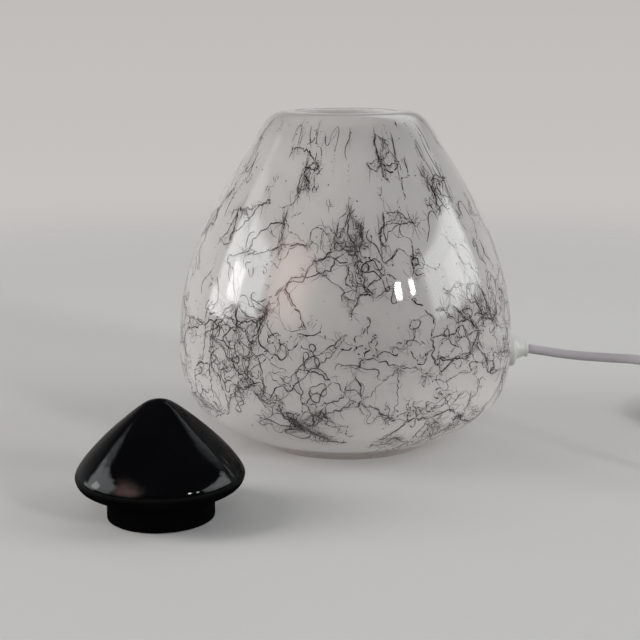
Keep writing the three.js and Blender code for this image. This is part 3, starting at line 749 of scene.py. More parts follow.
def thread_finish(dark, faint):
    finish = Finish("glass_thread")
    fade = finish.node("ShaderNodeAttribute", {"attribute_name": "fade"}, out="Fac")
    grain = finish.noise(900, 3)
    return finish.surface({
        "Base Color": finish.blend((fade + (grain - 0.5) * 0.35).clamped(), dark, faint),
        "Roughness": 0.7,
        "Specular IOR Level": 0.1,
    })


# A bubble of air, whose white is a painted glint
def bubble_glint_finish():
    finish = Finish("bubble_painted_glint")
    fine = finish.noise(1200, 2)
    return finish.surface({
        "Base Color": finish.ramp(fine, [(0.3, (0.8, 0.8, 0.8)), (0.7, (0.95, 0.95, 0.95))]),
        "Roughness": 0.2,
    })


# Geometry Nodes trees
class Plan:
    """A Geometry Nodes tree that is built node by node, with named inputs."""

    def __init__(self, name, inputs):
        self.tree = bpy.data.node_groups.new(name, "GeometryNodeTree")
        face = self.tree.interface
        face.new_socket(name="Geometry", in_out="INPUT", socket_type="NodeSocketGeometry")
        self.ids = {}
        for title, kind, default in inputs:
            socket = face.new_socket(name=title, in_out="INPUT", socket_type=kind)
            if default is not None:
                socket.default_value = default
            self.ids[title] = socket.identifier
        face.new_socket(name="Geometry", in_out="OUTPUT", socket_type="NodeSocketGeometry")
        self.start = self.tree.nodes.new("NodeGroupInput")
        self.end = self.tree.nodes.new("NodeGroupOutput")

    def given(self, title):
        return self.start.outputs[title]

    def node(self, kind, settings=None, sockets=None, out=0):
        made = self.tree.nodes.new(kind)
        for key, value in (settings or {}).items():
            setattr(made, key, value)
        for key, value in (sockets or {}).items():
            if isinstance(value, bpy.types.NodeSocket):
                self.tree.links.new(value, made.inputs[key])
            else:
                made.inputs[key].default_value = value
        return made.outputs[out]

    def finish(self, geometry):
        solid = self.node("GeometryNodeRealizeInstances", sockets={0: geometry})
        painted = self.node("GeometryNodeSetMaterial", sockets={0: solid, "Material": self.given("Material")})
        self.tree.links.new(painted, self.end.inputs[0])

    def grown(self, name, source, values):
        """The mesh that the tree makes of a source object, as a new plain object."""
        modifier = source.modifiers.new("plan", "NODES")
        modifier.node_group = self.tree
        for title, value in values.items():
            modifier[self.ids[title]] = value
        bpy.context.view_layer.update()
        ready = source.evaluated_get(bpy.context.evaluated_depsgraph_get())
        mesh = bpy.data.meshes.new_from_object(ready)
        mesh.name = name
        source.modifiers.remove(modifier)
        bpy.data.objects.remove(source)
        if not mesh.materials:
            mesh.materials.append(values["Material"])
        return placed(name, mesh)


def strand_plan():
    """Sweeps a small circle along every row of edges, as wide as its points' width attribute."""
    plan = Plan("strand_plan", [
        ("Sides", "NodeSocketInt", 5),
        ("Material", "NodeSocketMaterial", None),
    ])
    line = plan.node("GeometryNodeMeshToCurve", sockets={0: plan.given("Geometry")})
    sockets = {"Resolution": plan.given("Sides"), "Radius": 1.0}
    ring = plan.node("GeometryNodeCurvePrimitiveCircle", {"mode": "RADIUS"}, sockets)
    width = plan.node("GeometryNodeInputNamedAttribute", {"data_type": "FLOAT"}, {"Name": "width"})
    sockets = {"Curve": line, "Profile Curve": ring, "Scale": width, "Fill Caps": True}
    plan.finish(plan.node("GeometryNodeCurveToMesh", sockets=sockets))
    return plan


def speck_plan():
    """Sets a small rounded grain on every point, as large as its size attribute and turned at random."""
    plan = Plan("speck_plan", [
        ("Long", "NodeSocketFloat", 1.6),
        ("Seed", "NodeSocketInt", 3),
        ("Material", "NodeSocketMaterial", None),
    ])
    grain = plan.node("GeometryNodeMeshIcoSphere", sockets={"Radius": 1.0, "Subdivisions": 1})
    long = plan.node("ShaderNodeCombineXYZ", sockets={"X": plan.given("Long"), "Y": 0.8, "Z": 0.8})
    size = plan.node("GeometryNodeInputNamedAttribute", {"data_type": "FLOAT"}, {"Name": "size"})
    scale = plan.node("ShaderNodeVectorMath", {"operation": "SCALE"}, {0: long, "Scale": size})
    turn = plan.node(
        "FunctionNodeRandomValue", {"data_type": "FLOAT_VECTOR"},
        {0: (0, 0, 0), 1: (FULL, FULL, FULL), "Seed": plan.given("Seed")},
    )
    sockets = {"Points": plan.given("Geometry"), "Instance": grain, "Rotation": turn, "Scale": scale}
    plan.finish(plan.node("GeometryNodeInstanceOnPoints", sockets=sockets))
    return plan


def rows_of_points(name, rows):
    """A mesh of edges, one row after another, with a width and a fade on each point."""
    edges, first = [], 0
    for row in rows:
        edges += [(first + i, first + i + 1) for i in range(len(row) - 1)]
        first += len(row)
    return points_with(name, [point for row in rows for point in row], edges, "width")


def points_with(name, points, edges, kind):
    """A mesh of points, each given as its place, its width or size and its fade."""
    mesh = bpy.data.meshes.new(name)
    mesh.from_pydata([tuple(place) for place, _, _ in points], edges, [])
    mesh.attributes.new(kind, "FLOAT", "POINT").data.foreach_set("value", [size for _, size, _ in points])
    mesh.attributes.new("fade", "FLOAT", "POINT").data.foreach_set("value", [fade for _, _, fade in points])
    return placed(name, mesh)


# The threads in the glass
class Weaver:
    """Lays strands on the core by a seeded walk, curly below and drawn out upwards towards the neck."""

    STEP = 0.0006
    LOW = 0.0005

    def __init__(self, skin, seed, width, fuzz_width):
        self.skin = skin
        self.dice = random.Random(seed)
        self.width = width
        self.fuzz_width = fuzz_width
        self.strands = []
        self.hairs = []
        self.grains = []
        self.bubble_glints = []
        self.top = skin.climb_to(BODY_HEIGHT - 0.0035)

    def walk(self, turn, climb, heading, length, curl, step=None):
        """Places of a strand, whose curvature wanders on a long, a middle and a short scale."""
        step = step or self.STEP
        phase = self.dice.uniform(0, 4000)
        places = []
        travelled = 0.0
        while travelled < length and self.LOW < climb < self.top:
            places.append((turn, climb))
            for scale, amount, row in zip((0.025, 0.008, 0.0024), curl, (0.5, 7.5, 15.5)):
                heading += amount * noise.noise(Vector((phase + travelled / scale, row, 0.5))) * step
            stretch = 1 + 2.4 * max(climb / self.skin.length - 0.38, 0) ** 1.2
            turn += math.cos(heading) * step / (BODY_RADIUS * 0.93)
            climb += math.sin(heading) * step * stretch
            travelled += step
        return places

    def draw(self, places, width, fade, into, ragged=0.9, broken=0.0):
        """Turns a walk into rows of points whose width swells and thins, with breaks where it is broken."""
        if len(places) < 4:
            return
        phase = self.dice.uniform(0, 900)
        last = len(places) - 1
        row = []
        for i, (turn, climb) in enumerate(places):
            at = i * self.STEP
            fine, broad = Vector((phase + at / 0.0013, 0.5, 0.5)), Vector((phase, at / 0.006, 9.5))
            swell = 1 + ragged * (noise.noise(fine) + noise.noise(broad))
            if broken and noise.noise(Vector((3.5, phase, at / 0.0025))) < broken - 0.6:
                if len(row) > 1:
                    into.append(row)
                row = []
                continue
            ends = min(i, last - i, 4) / 4 * 0.7 + 0.3
            fading = fade + 0.45 * noise.noise(Vector((phase, at / 0.012, 3.5)))
            thick = width * min(max(swell, 0.35), 2.1) * ends
            row.append((self.skin.place(turn, climb), thick, min(max(fading, 0), 1)))
        if len(row) > 1:
            into.append(row)

    def beside(self, places, reach):
        """The same way again, a wandering distance to its side."""
        phase = self.dice.uniform(0, 900)
        made = []
        for i, ((turn, climb), (turn2, climb2)) in enumerate(zip(places, places[1:])):
            along = Vector(((turn2 - turn) * BODY_RADIUS, climb2 - climb))
            if along.length < 1e-9:
                continue
            aside = reach * 2 * noise.noise(Vector((phase + i * self.STEP / 0.007, 2.5, 0.5)))
            along.normalize()
            made.append((turn - along.y * aside / BODY_RADIUS, climb + along.x * aside))
        return made

    def twin(self, places, width, fade, reach, broken):
        """A thinner thread that keeps beside a strand."""
        side = self.beside(places, reach)
        self.draw(side, width * self.dice.uniform(0.35, 0.65), fade, self.strands, broken=broken)

    def trim(self, places, fade, fuzz, dots):
        """Hairs and grains along a strand, so many to the metre."""
        for turn, climb in places:
            if self.dice.random() < fuzz * self.STEP:
                self.hair(turn, climb)
            if self.dice.random() < dots * self.STEP:
                self.grain(turn, climb, self.dice.uniform(1.1, 2.6), fade * 0.5, 0.0002)

    def strand(
        self, turn, climb, heading, length, curl, width=1.0, fade=0.1, fuzz=0.0, dots=0.0, twins=0, broken=0.0
    ):
        """A thread by itself, with its hairs and grains, and twins beside part of it."""
        dice = self.dice
        width *= self.width
        places = self.walk(turn, climb, heading, length, curl)
        self.draw(places, width, fade, self.strands, broken=broken)
        for _ in range(twins):
            if len(places) > 12:
                start = dice.randrange(0, len(places) // 2)
                end = dice.randrange(len(places) // 2, len(places))
                self.twin(places[start:end], width, fade + 0.3, dice.uniform(0.0006, 0.002), 0.35)
        self.trim(places, fade, fuzz, dots)
        return places

    def any_way(self):
        return self.dice.uniform(0, FULL)

    def near(self, turn, climb, reach, squash=1):
        """A place at random round another."""
        return turn + self.dice.gauss(0, reach) / BODY_RADIUS, climb + self.dice.gauss(0, reach * squash)

    def hair(self, turn, climb, fade=0.5, heading=None, length=None):
        heading = self.any_way() if heading is None else heading
        length = length or self.dice.uniform(0.002, 0.008)
        places = self.walk(turn, climb, heading, length, (150, 500, 500), 0.0008)
        self.draw(places, self.fuzz_width, fade, self.hairs, 0.4)

    def burst(self, turn, climb, reach, count):
        """Hairs that stand out all round a knot."""
        for _ in range(count):
            heading = self.any_way()
            away = self.dice.uniform(0, 0.25) * reach
            foot = turn + math.cos(heading) * away / BODY_RADIUS, climb + math.sin(heading) * away
            self.hair(*foot, self.dice.uniform(0.15, 0.6), heading, reach * self.dice.uniform(0.35, 1))

    def grain(self, turn, climb, size, fade=0.1, spread=0.0):
        turn, climb = self.near(turn, climb, spread)
        if 0.003 < climb < self.top:
            self.grains.append((self.skin.place(turn, climb), self.width * size, fade))

    def clot(self, turn, climb, reach, count):
        """A dark knot of crowded short curls and grains."""
        for _ in range(count):
            self.grain(turn, climb, self.dice.uniform(0.6, 1.7), 0.05, reach)
        for _ in range(count // 4 + 1):
            start = self.near(turn, climb, reach)
            self.strand(*start, self.any_way(), reach * 3, (300, 1200, 1500), 0.9, 0.05)
        self.burst(turn, climb, reach * 3, count // 2)

    def link(self, start, end, width, fade, fuzz, dots, twins, broken):
        """A crooked thread between two places."""
        dice = self.dice
        width *= self.width
        way = Vector(((end[0] - start[0]) * BODY_RADIUS, end[1] - start[1]))
        count = int(way.length / self.STEP)
        if count < 4:
            return
        aside = Vector((-way.y, way.x)).normalized()
        bow, phase = dice.gauss(0, 0.13) * way.length, dice.uniform(0, 4000)
        places = []
        for i in range(count + 1):
            share = i / count
            at = way.length * share
            wave = 0.0022 * noise.noise(Vector((phase + at / 0.006, 0.5, 0.5)))
            wave += 0.0013 * noise.noise(Vector((phase + at / 0.0019, 4.5, 0.5)))
            wave += bow * math.sin(math.pi * share)
            place = way * share + aside * wave
            places.append((start[0] + place.x / BODY_RADIUS, start[1] + place.y))
        places = [p for p in places if self.LOW < p[1] < self.top]
        self.draw(places, width, fade, self.strands, broken=broken)
        for _ in range(twins):
            if len(places) > 10:
                self.twin(places, width, fade + 0.25, dice.uniform(0.0005, 0.0016), 0.3)
        self.trim(places, fade, fuzz, dots)

    def net(self, turn, climb, reach, count):
        """Knots that are joined to their nearest neighbours by crooked threads."""
        dice = self.dice
        knots = [self.near(turn, climb, reach, 0.8) for _ in range(count)]
        for i, knot in enumerate(knots):
            near = sorted(
                (math.hypot((other[0] - knot[0]) * BODY_RADIUS, other[1] - knot[1]), k)
                for k, other in enumerate(knots) if k > i
            )
            for far, k in near[:dice.choice((1, 2, 2, 3))]:
                if far < 0.03:
                    self.link(
                        knot, knots[k], dice.choice((0.6, 0.9, 1.2, 1.6)), dice.choice((0, 0.1, 0.3, 0.45)),
                        dice.choice((60, 160, 320)), dice.choice((30, 120, 260)), dice.choice((0, 1, 2)),
                        dice.choice((0, 0, 0.3)),
                    )
            if dice.random() < 0.16:
                self.burst(*knot, dice.uniform(0.003, 0.007), dice.randrange(10, 34))
            if dice.random() < 0.35:
                self.clot(*knot, dice.uniform(0.0006, 0.0014), dice.randrange(5, 14))

    def tangle(self, turn, climb, reach, strands):
        """Curly strands that start round one place and cross each other into a net."""
        dice = self.dice
        for _ in range(strands):
            start = self.near(turn, climb, reach, 0.75)
            curl = dice.choice(((130, 230, 1300), (170, 380, 1400), (110, 160, 1200)))
            self.strand(
                *start, self.any_way(), dice.uniform(0.012, 0.06), curl,
                width=dice.choice((0.5, 0.7, 0.9, 1.15, 1.4)), fade=dice.choice((0, 0.1, 0.25, 0.45, 0.6)),
                fuzz=dice.choice((0, 80, 200, 380)), dots=dice.choice((30, 90, 200)),
                twins=dice.choice((0, 1, 1, 2)), broken=dice.choice((0, 0, 0.3)),
            )

    def streak(self, turn, climb, length, fade=0.2):
        """A drawn-out thread on the shoulder, with its dotted continuation."""
        way = self.dice.choice((-1, 1)) * math.pi / 2
        places = self.strand(
            turn, climb, way + self.dice.gauss(0, 0.35), length, (80, 160, 900),
            width=self.dice.uniform(0.6, 1.3), fade=fade, fuzz=120, dots=120,
            twins=self.dice.choice((0, 1, 2)),
        )
        if places:
            turn, climb = places[-1]
            for _ in range(self.dice.randrange(4, 14)):
                climb += math.copysign(self.dice.uniform(0.0007, 0.0026), way)
                self.grain(turn, climb, self.dice.uniform(0.6, 1.6), fade, 0.0004)


def weave(skin, seed, width, fuzz_width):
    """The whole decoration: tangles low on the body, arcs between them, streaks and clots on the shoulder."""
    loom = Weaver(skin, seed, width, fuzz_width)
    dice, any_way = loom.dice, loom.any_way

    def up(low, high):
        return skin.length * dice.uniform(low, high)

    for k in range(TANGLES):
        turn = FULL * (k + dice.uniform(-0.45, 0.45)) / TANGLES
        climb = skin.length * (0.14 + 0.36 * dice.random() ** 1.3)
        loom.net(turn, climb, dice.uniform(0.012, 0.022), dice.randrange(12, 26))
        loom.tangle(turn + dice.gauss(0, 0.1), climb, dice.uniform(0.008, 0.017), dice.randrange(4, 9))
    for k in range(MIDDLE_NETS):
        turn = FULL * (k + dice.uniform(-0.5, 0.5)) / MIDDLE_NETS
        loom.net(turn, up(0.4, 0.68), dice.uniform(0.011, 0.022), dice.randrange(7, 15))
    for _ in range(ARCS):
        loom.strand(
            any_way(), skin.length * dice.triangular(0.05, 0.74, 0.36), any_way(), dice.uniform(0.015, 0.08),
            dice.choice(((110, 120, 1400), (130, 200, 1600), (150, 320, 1300))),
            width=dice.uniform(0.5, 1.4), fade=dice.choice((0, 0.15, 0.4)), fuzz=dice.choice((40, 120, 260)),
            dots=dice.choice((60, 150, 300)), twins=dice.choice((0, 1, 1, 2)),
            broken=dice.choice((0, 0.25, 0.45)),
        )
    for k in range(SHOULDER_NETS):
        turn = FULL * (k + dice.uniform(-0.45, 0.45)) / SHOULDER_NETS
        climb = up(0.58, 0.92)
        loom.net(turn, climb, dice.uniform(0.007, 0.014), dice.randrange(7, 14))
        loom.clot(turn, climb, 0.0015, dice.randrange(6, 20))
    for _ in range(STREAKS):
        loom.streak(any_way(), up(0.5, 0.95), dice.uniform(0.005, 0.026))
    for _ in range(CURLS):
        loom.strand(
            any_way(), up(0.5, 0.93), any_way(), dice.uniform(0.005, 0.02), (220, 480, 1300),
            width=dice.uniform(0.6, 1.5), fade=0.1, fuzz=160, dots=260, twins=1, broken=0.3,
        )
    for _ in range(CLOTS):
        loom.clot(any_way(), up(0.06, 0.9), 0.001, dice.randrange(4, 12))
    for _ in range(LOW_STRANDS):
        loom.strand(
            any_way(), up(0.0, 0.05), dice.uniform(0.2, 3), dice.uniform(0.01, 0.03), (120, 300, 900),
            width=1.2, fade=0.1, fuzz=100,
        )
    for _ in range(LOOSE_GRAINS):
        loom.grain(any_way(), up(0.05, 0.95), dice.uniform(0.7, 2.4), 0.05)
    # A bubble beside some points of the threads, painted white as a glint
    for place, _, _ in (point for row in loom.strands for point in row):
        if dice.random() < BUBBLE_SHARE:
            out = Vector((place.x, place.y, 0)).normalized() * 0.0003
            shift = Vector((0, 0, dice.gauss(0, 0.0009)))
            loom.bubble_glints.append((place + out + shift, width * dice.uniform(0.7, 1.8), 0))
    return loom


# Fitted to the outlines of the body and the lid in the picture
LENS = 80
CAMERA_PLACE = (-0.01382, -0.7664, 0.223)
CAMERA_DOWN = 11.61  # degrees below level that it looks


class LAMP_OT_camera(bpy.types.Operator):
    """Sets the camera where the picture was taken from"""

    bl_idname = "lamp.camera"
    bl_label = "Camera"

    def execute(self, context):
        data = bpy.data.cameras.new("camera")
        data.lens = LENS
        data.sensor_width = 36
        data.clip_start = 0.01
        data.clip_end = 50
        camera = bpy.data.objects.new("camera", data)
        camera.location = CAMERA_PLACE
        camera.rotation_euler = (math.radians(90 - CAMERA_DOWN), 0, 0)
        context.scene.collection.objects.link(camera)
        context.scene.camera = camera
        return {"FINISHED"}


def coil_places():
    """The cord's places from the switch on: the lower layer inwards, the upper one outwards, to the plug."""
    start = Vector(SWITCH_END)
    centre = start + Vector((-COIL_RADIUS, COIL_LEAD_IN, 0))
    places = []
    in_steps = 18
    for i in range(in_steps):
        share = smooth_step(i, 2, 0.62 * in_steps)
        height = start.z + (COIL_LOW - start.z) * share
        places.append(Vector((start.x, start.y + COIL_LEAD_IN * i / in_steps, height)))
    for i in range(int(2 * COIL_TURNS * TURN_STEPS) + 1):
        turn = i / TURN_STEPS
        past = turn - COIL_TURNS
        radius = COIL_RADIUS - COIL_PITCH * (COIL_TURNS - abs(past))
        height = COIL_LOW + COIL_PITCH * smooth_step(past, -COIL_CLIMB, COIL_CLIMB)
        angle = FULL * turn
        x, y = centre.x + radius * math.cos(angle), centre.y + radius * math.sin(angle)
        places.append(Vector((x, y, height)))
    high = COIL_LOW + COIL_PITCH
    out_steps = 12
    for i in range(1, out_steps + 1):
        height = high + (COIL_END_HEIGHT - high) * smooth_step(i, 0.38 * out_steps, out_steps - 2)
        places.append(Vector((start.x, centre.y + COIL_LEAD_OUT * i / out_steps, height)))
    return places


class LAMP_OT_cord(bpy.types.Operator):
    """Makes the cord from the bushing through the switch and the coil to the plug"""

    bl_idname = "lamp.cord"
    bl_label = "Cord"

    def execute(self, context):
        sheath = cord_finish(tuple(context.scene.lamp_fittings.cord))
        free = rounded_through(ROUTE, 0.0022)
        through = evenly([free[-1], Vector(SWITCH_END)], 0.004)
        path = free + through[1:-1] + coil_places()
        cord = tube("cord", path, CORD_DIAMETER / 2, 20, sheath)
        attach(cord, "lamp")
        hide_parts("cord_free", "cord_coil")
        path_length(path)

        low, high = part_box("inner_lead")
        tip, start = Vector((high.x, 0, CORD_HEIGHT)), Vector((LEAD_START, 0, CORD_HEIGHT))
        end = Vector((low.x, 0, LEAD_END_HEIGHT))
        places = [tip, start, start - Vector((0.005, 0, 0))]
        for across, side, rise in LEAD_SHARES:
            places.append(start.lerp(end, across) + Vector((0, side * BODY_RADIUS, rise * BODY_HEIGHT)))
        places += [Vector((0.019, 0, end.z)), Vector((0.0143, 0, end.z)), end]
        lead = tube("inner_lead_sheath", rounded_through(places, 0.0025), CORD_DIAMETER / 2, 16, sheath)
        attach(lead, "lamp")
        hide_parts("inner_lead")
        return {"FINISHED"}


# What every light and card points at, and how far off the lights stand
AIM = Vector((0, 0, 0.08))
LIGHT_DISTANCE = 4.5


class LAMP_OT_stage(bpy.types.Operator):
    """Sets the floor, the backdrop, the soft lights and the windows that the glass mirrors"""

    bl_idname = "lamp.stage"
    bl_label = "Stage"

    def execute(self, context):
        sizes = context.scene.lamp_stage
        context.scene.view_settings.view_transform = "Standard"
        self.blockers = bpy.data.collections.new("blockers")
        self.floor(tuple(sizes.floor))
        self.world(context.scene, tuple(sizes.backdrop), sizes.ambient)

        self.lamp("front", 0, 27, (6, 6), 0.04, (1, 1, 1))
        self.lamp("left_window", -82, 20, (34, 30), 0.15, (0.97, 0.99, 1))
        self.lamp("left_through", -82, 20, (24, 20), 0.09, (1, 0.97, 0.95), through=True)
        self.lamp("left_high", -74, 40, (20, 20), 0.185, (1, 0.97, 0.95), through=True)
        self.lamp("right_window", 85, 30, (34, 24), 0.165, (0.94, 0.99, 1))
        self.lamp("key", 42, 20, (9, 7), 0.115, (0.96, 0.995, 1))

        glow, far, near = sizes.glow, 1.2, 1.15
        left_sky, right_sky, white, warm = (0.94, 0.99, 1), (0.95, 0.99, 1), (1, 1, 1), (1, 0.66, 0.6)
        self.card("left_glow", -82, 20, (48, 30), glow * 0.72, 0.3, left_sky, far)
        self.card("left_streak", -85, 15, (15, 15), glow * 1.8, 0.45, white, near)
        self.card("left_low", -95, 5, (30, 10), glow * 0.8, 0.5, white, near)
        self.card("left_tall", -101, 33, (24, 15), glow * 0.28, 0.8, left_sky, far)
        self.card("right_tall", 141, 42, (60, 36), glow * 0.27, 0.7, right_sky, far)
        self.card("right_glow", 85, 19, (56, 27), glow * 0.75, 0.3, right_sky, far)
        self.card("right_streak", 85, 17, (20, 18), glow * 0.9, 0.45, white, near)
        self.card("warm_glow", -42, 23, (46, 46), glow * 0.6, 0.85, warm, far)
        self.card("key_left", 36.6, 21, (5.2, 8), glow * 10, 0.5, white, 1.1)
        self.card("key_right", 47.2, 21, (4.6, 8), glow * 5, 0.6, white, 1.1)
        return {"FINISHED"}

    def floor(self, colour):
        """A wide round floor that fades into the backdrop, with painted shade to its left and painted light
        further back.
        """
        reach, drop, sides = 1.6, -0.0003, 96
        finish = Finish("pale_floor")
        place = finish.place()
        away = finish.node("ShaderNodeVectorMath", {"operation": "LENGTH"}, {0: place}, out="Value")
        across = finish.axis(place, 0)
        # Painted shade: the floor is darker to the left
        left = finish.grey(across, -0.3, -0.02, 0.3, 0)
        # Painted light: the floor is brighter further back
        far = finish.grey(across.beside(1), -0.1, 0.3, 0, 0.85)
        cloud = finish.grey(finish.noise(3, 3), 0.35, 0.65, 0, 0.15)
        finish.surface({
            "Base Color": finish.blend(
                left, finish.blend(far + cloud, colour, scaled(colour, 1.1)), scaled(colour, 0.92)
            ),
            "Roughness": 0.75,
            "Specular IOR Level": 0.15,
            "Alpha": finish.grey(away, 0.3, 1.3, 1, 0, "SMOOTHERSTEP"),
            "Normal": finish.bump(finish.noise(900, 3), 0.05, 0.0002),
        })
        edge = round_of(reach, drop, sides)
        floor = piece("floor", edge, [list(range(sides))], finish.material, smooth=False)

    def world(self, scene, backdrop, ambient):
        """Soft light, mostly from above and behind, a pale backdrop and a dark ceiling for reflections."""
        scene.world = bpy.data.worlds.new("studio")
        scene.world.use_nodes = True
        tree = scene.world.node_tree
        tree.nodes.remove(tree.nodes["Background"])
        nodes = Nodes(tree)
        depth = nodes.axis(nodes.node("ShaderNodeTexCoord", out="Generated"), 1)
        height = depth.beside(2)
        seen = nodes.blend(nodes.grey(height, -0.12, 0.03, 0, 1), backdrop, scaled(backdrop, 0.93))
        behind = nodes.grey(depth, 0, 0.5, 0, 1) * nodes.grey(height, 0.1, 0.5, 1, 0)
        mirrored = nodes.blend(behind, (0.05, 0.05, 0.055), backdrop)
        camera = nodes.node("ShaderNodeLightPath")
        glossy, through = camera.beside("Is Glossy Ray"), camera.beside("Is Transmission Ray")
        sky = nodes.grey(depth, -1, 0.8, 0.35, 1.25) * nodes.grey(height, -0.1, 1, 0.6, 2)
        light = nodes.node(
            "ShaderNodeBackground", sockets={"Color": (1, 0.99, 0.98), "Strength": sky * (ambient / 1.35)}
        )
        shown = nodes.blend(glossy, seen, mirrored)
        picture = nodes.node("ShaderNodeBackground", sockets={"Color": shown, "Strength": 1.0})
        share = (camera + through + glossy).clamped()
        both = nodes.node("ShaderNodeMixShader", sockets={0: share, 1: light, 2: picture})
        nodes.join(both, tree.nodes["World Output"].inputs["Surface"])

    def stand(self, azimuth, elevation, distance):
        """Where a light stands, and the turn that points its -Z at the lamp."""
        a, e = math.radians(azimuth), math.radians(elevation)
        back = Vector((math.sin(a) * math.cos(e), -math.cos(a) * math.cos(e), math.sin(e)))
        return AIM + back * distance, (-back).to_track_quat("-Z", "Y")

    def lamp(self, name, azimuth, elevation, spread, share, colour, through=False):
        """A soft light, [across, up] degrees wide, that gives a share of the floor's brightness.

        One that goes through is shaded by the lid alone, as light is that milky glass lets pass.
        """
        data = bpy.data.lights.new(name, "AREA")
        data.shape = "RECTANGLE"
        data.size, data.size_y = (2 * LIGHT_DISTANCE * math.tan(math.radians(width / 2)) for width in spread)
        data.energy = share * (math.pi * LIGHT_DISTANCE) ** 2 / math.sin(math.radians(elevation))
        data.color = colour
        made = bpy.data.objects.new(name, data)
        made.rotation_mode = "QUATERNION"
        made.location, made.rotation_quaternion = self.stand(azimuth, elevation, LIGHT_DISTANCE)
        made.visible_camera = made.visible_glossy = made.visible_transmission = False
        bpy.context.scene.collection.objects.link(made)
        if through:
            made.light_linking.blocker_collection = self.blockers

    def card(self, name, azimuth, elevation, spread, level, soft, colour, distance):
        """A glowing card with soft edges that only shows in reflections, [across, up] degrees wide."""
        finish = Finish(name)
        across = finish.axis(finish.node("ShaderNodeUVMap"), 0)
        share = finish.softened(across, soft) * finish.softened(across.beside(1), soft)
        clear = finish.node("ShaderNodeBsdfTransparent")
        light = finish.node("ShaderNodeEmission", sockets={"Color": colour, "Strength": level})
        both = finish.node("ShaderNodeMixShader", sockets={0: share, 1: clear, 2: light})
        finish.join(both, finish.output.inputs["Surface"])
        finish.tree.nodes.remove(finish.shader)

        where, turn = self.stand(azimuth, elevation, distance)
        x, y = (distance * math.tan(math.radians(width / 2)) for width in spread)
        corners = [(0, 0), (1, 0), (1, 1), (0, 1)]
        vertices = [where + turn @ Vector(((2 * u - 1) * x, (2 * v - 1) * y, 0)) for u, v in corners]
        card = piece(name, vertices, [[0, 1, 2, 3]], finish.material, uvs=corners)
        card.visible_camera = card.visible_diffuse = card.visible_shadow = False
        card.visible_transmission = card.visible_volume_scatter = False


class LAMP_OT_glass_body(bpy.types.Operator):
    """Makes the opal core and the clear casing round it"""

    bl_idname = "lamp.glass_body"
    bl_label = "Glass body"

    def execute(self, context):
        sizes = context.scene.lamp_glass
        top, ceiling, foot = BODY_HEIGHT - sizes.lip, BODY_HEIGHT - RIM, sizes.foot
        gap = 0.0001  # between the core and the casing
        side = [p for p in Skin(sizes.casing).rows if foot < p[1] < top - 0.0006]
        inside = [p for p in Skin(BODY_WALL).rows if BODY_FLOOR < p[1] < ceiling]
        foot_radius = side[0][0] - 0.0006
        shoulder_radius = side[-1][0]
        core = [
            (0, foot), (foot_radius * 0.5, foot), (foot_radius, foot + 0.0001), *side,
            (shoulder_radius - 0.0009, top), (NECK_RADIUS + 0.0004, top), (NECK_RADIUS, top - 0.0004),
            (NECK_RADIUS, ceiling), (NECK_RADIUS + 0.001, ceiling - 0.001), *inside[::-1],
            (inside[0][0] - 0.003, BODY_FLOOR), (0, BODY_FLOOR),
        ]
        opal = opal_finish(tuple(sizes.opal), tuple(sizes.opal_shade))
        core_piece = turned("opal_core", core, GLASS_SEGMENTS, opal, sharp=50)

        outside = Skin(0).rows
        sunk = [p for p in Skin(sizes.casing + gap).rows if foot + gap < p[1] < top - 0.0008]
        mouth = [
            (NECK_RADIUS + across * MOUTH_ROUND, BODY_HEIGHT - down * MOUTH_ROUND)
            for across, down in ((2, 0), (0.7, 0.1), (0.1, 0.7), (0, 2))
        ]
        casing = [
            (0, 0), (outside[0][0] * 0.5, 0), *outside, *mouth, (NECK_RADIUS, top - 0.0006),
            (NECK_RADIUS + 0.0005, top - 0.0002), (shoulder_radius - 0.0011, top - 0.0001), *sunk[::-1],
            (foot_radius, foot + 2 * gap), (0, foot + 2 * gap),
        ]
        casing_piece = turned("clear_casing", casing, GLASS_SEGMENTS, casing_finish(), sharp=50)
        casing_piece.visible_shadow = casing_piece.visible_diffuse = False
        for made in (core_piece, casing_piece):
            bored(made, Matrix.Translation((0.085, 0, CORD_HEIGHT)), BORE_RADIUS, 0.02)
            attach(made, "lamp")
            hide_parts("glass_body")
        return {"FINISHED"}


class LAMP_OT_threads(bpy.types.Operator):
    """Lays the threads, hairs and grains between the core and the casing, with a bubble of air here and there
    whose white is a painted glint
    """

    bl_idname = "lamp.threads"
    bl_label = "Threads"

    def execute(self, context):
        sizes = context.scene.lamp_threads
        skin = Skin(context.scene.lamp_glass.casing - 0.00012)
        loom = weave(skin, sizes.seed, sizes.width, sizes.fuzz_width)
        ink = thread_finish(tuple(sizes.dark), tuple(sizes.faint))
        strands, specks = strand_plan(), speck_plan()
        made = []
        for kind, rows, sides, count in (("threads", loom.strands, 4, 4), ("thread_hairs", loom.hairs, 3, 3)):
            for k, part in enumerate(self.shared_out(rows, count)):
                name = f"{kind}_{k + 1}"
                source = rows_of_points("rows_of_" + name, part)
                made.append(strands.grown(name, source, {"Sides": sides, "Material": ink}))
        for k in (0, 1):
            grains = points_with("grain_points", loom.grains[k::2], [], "size")
            values = {"Long": 1.6, "Seed": 3 + k, "Material": ink}
            made.append(specks.grown(f"thread_grains_{k + 1}", grains, values))
        bubble_glints = points_with("bubble_points", loom.bubble_glints, [], "size")
        made.append(specks.grown("bubble_glints", bubble_glints, {"Long": 1.8, "Material": bubble_glint_finish()}))
        for one in made:
            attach(one, "lamp")
        return {"FINISHED"}

    def shared_out(self, rows, count):
        """The rows in so many parts of like size, from the lowest up."""
        rows = sorted(rows, key=lambda row: row[0][0].z)
        points = sum(len(row) for row in rows)
        parts, held = [[] for _ in range(count)], 0
        for row in rows:
            parts[min(held * count // points, count - 1)].append(row)
            held += len(row)
        return parts


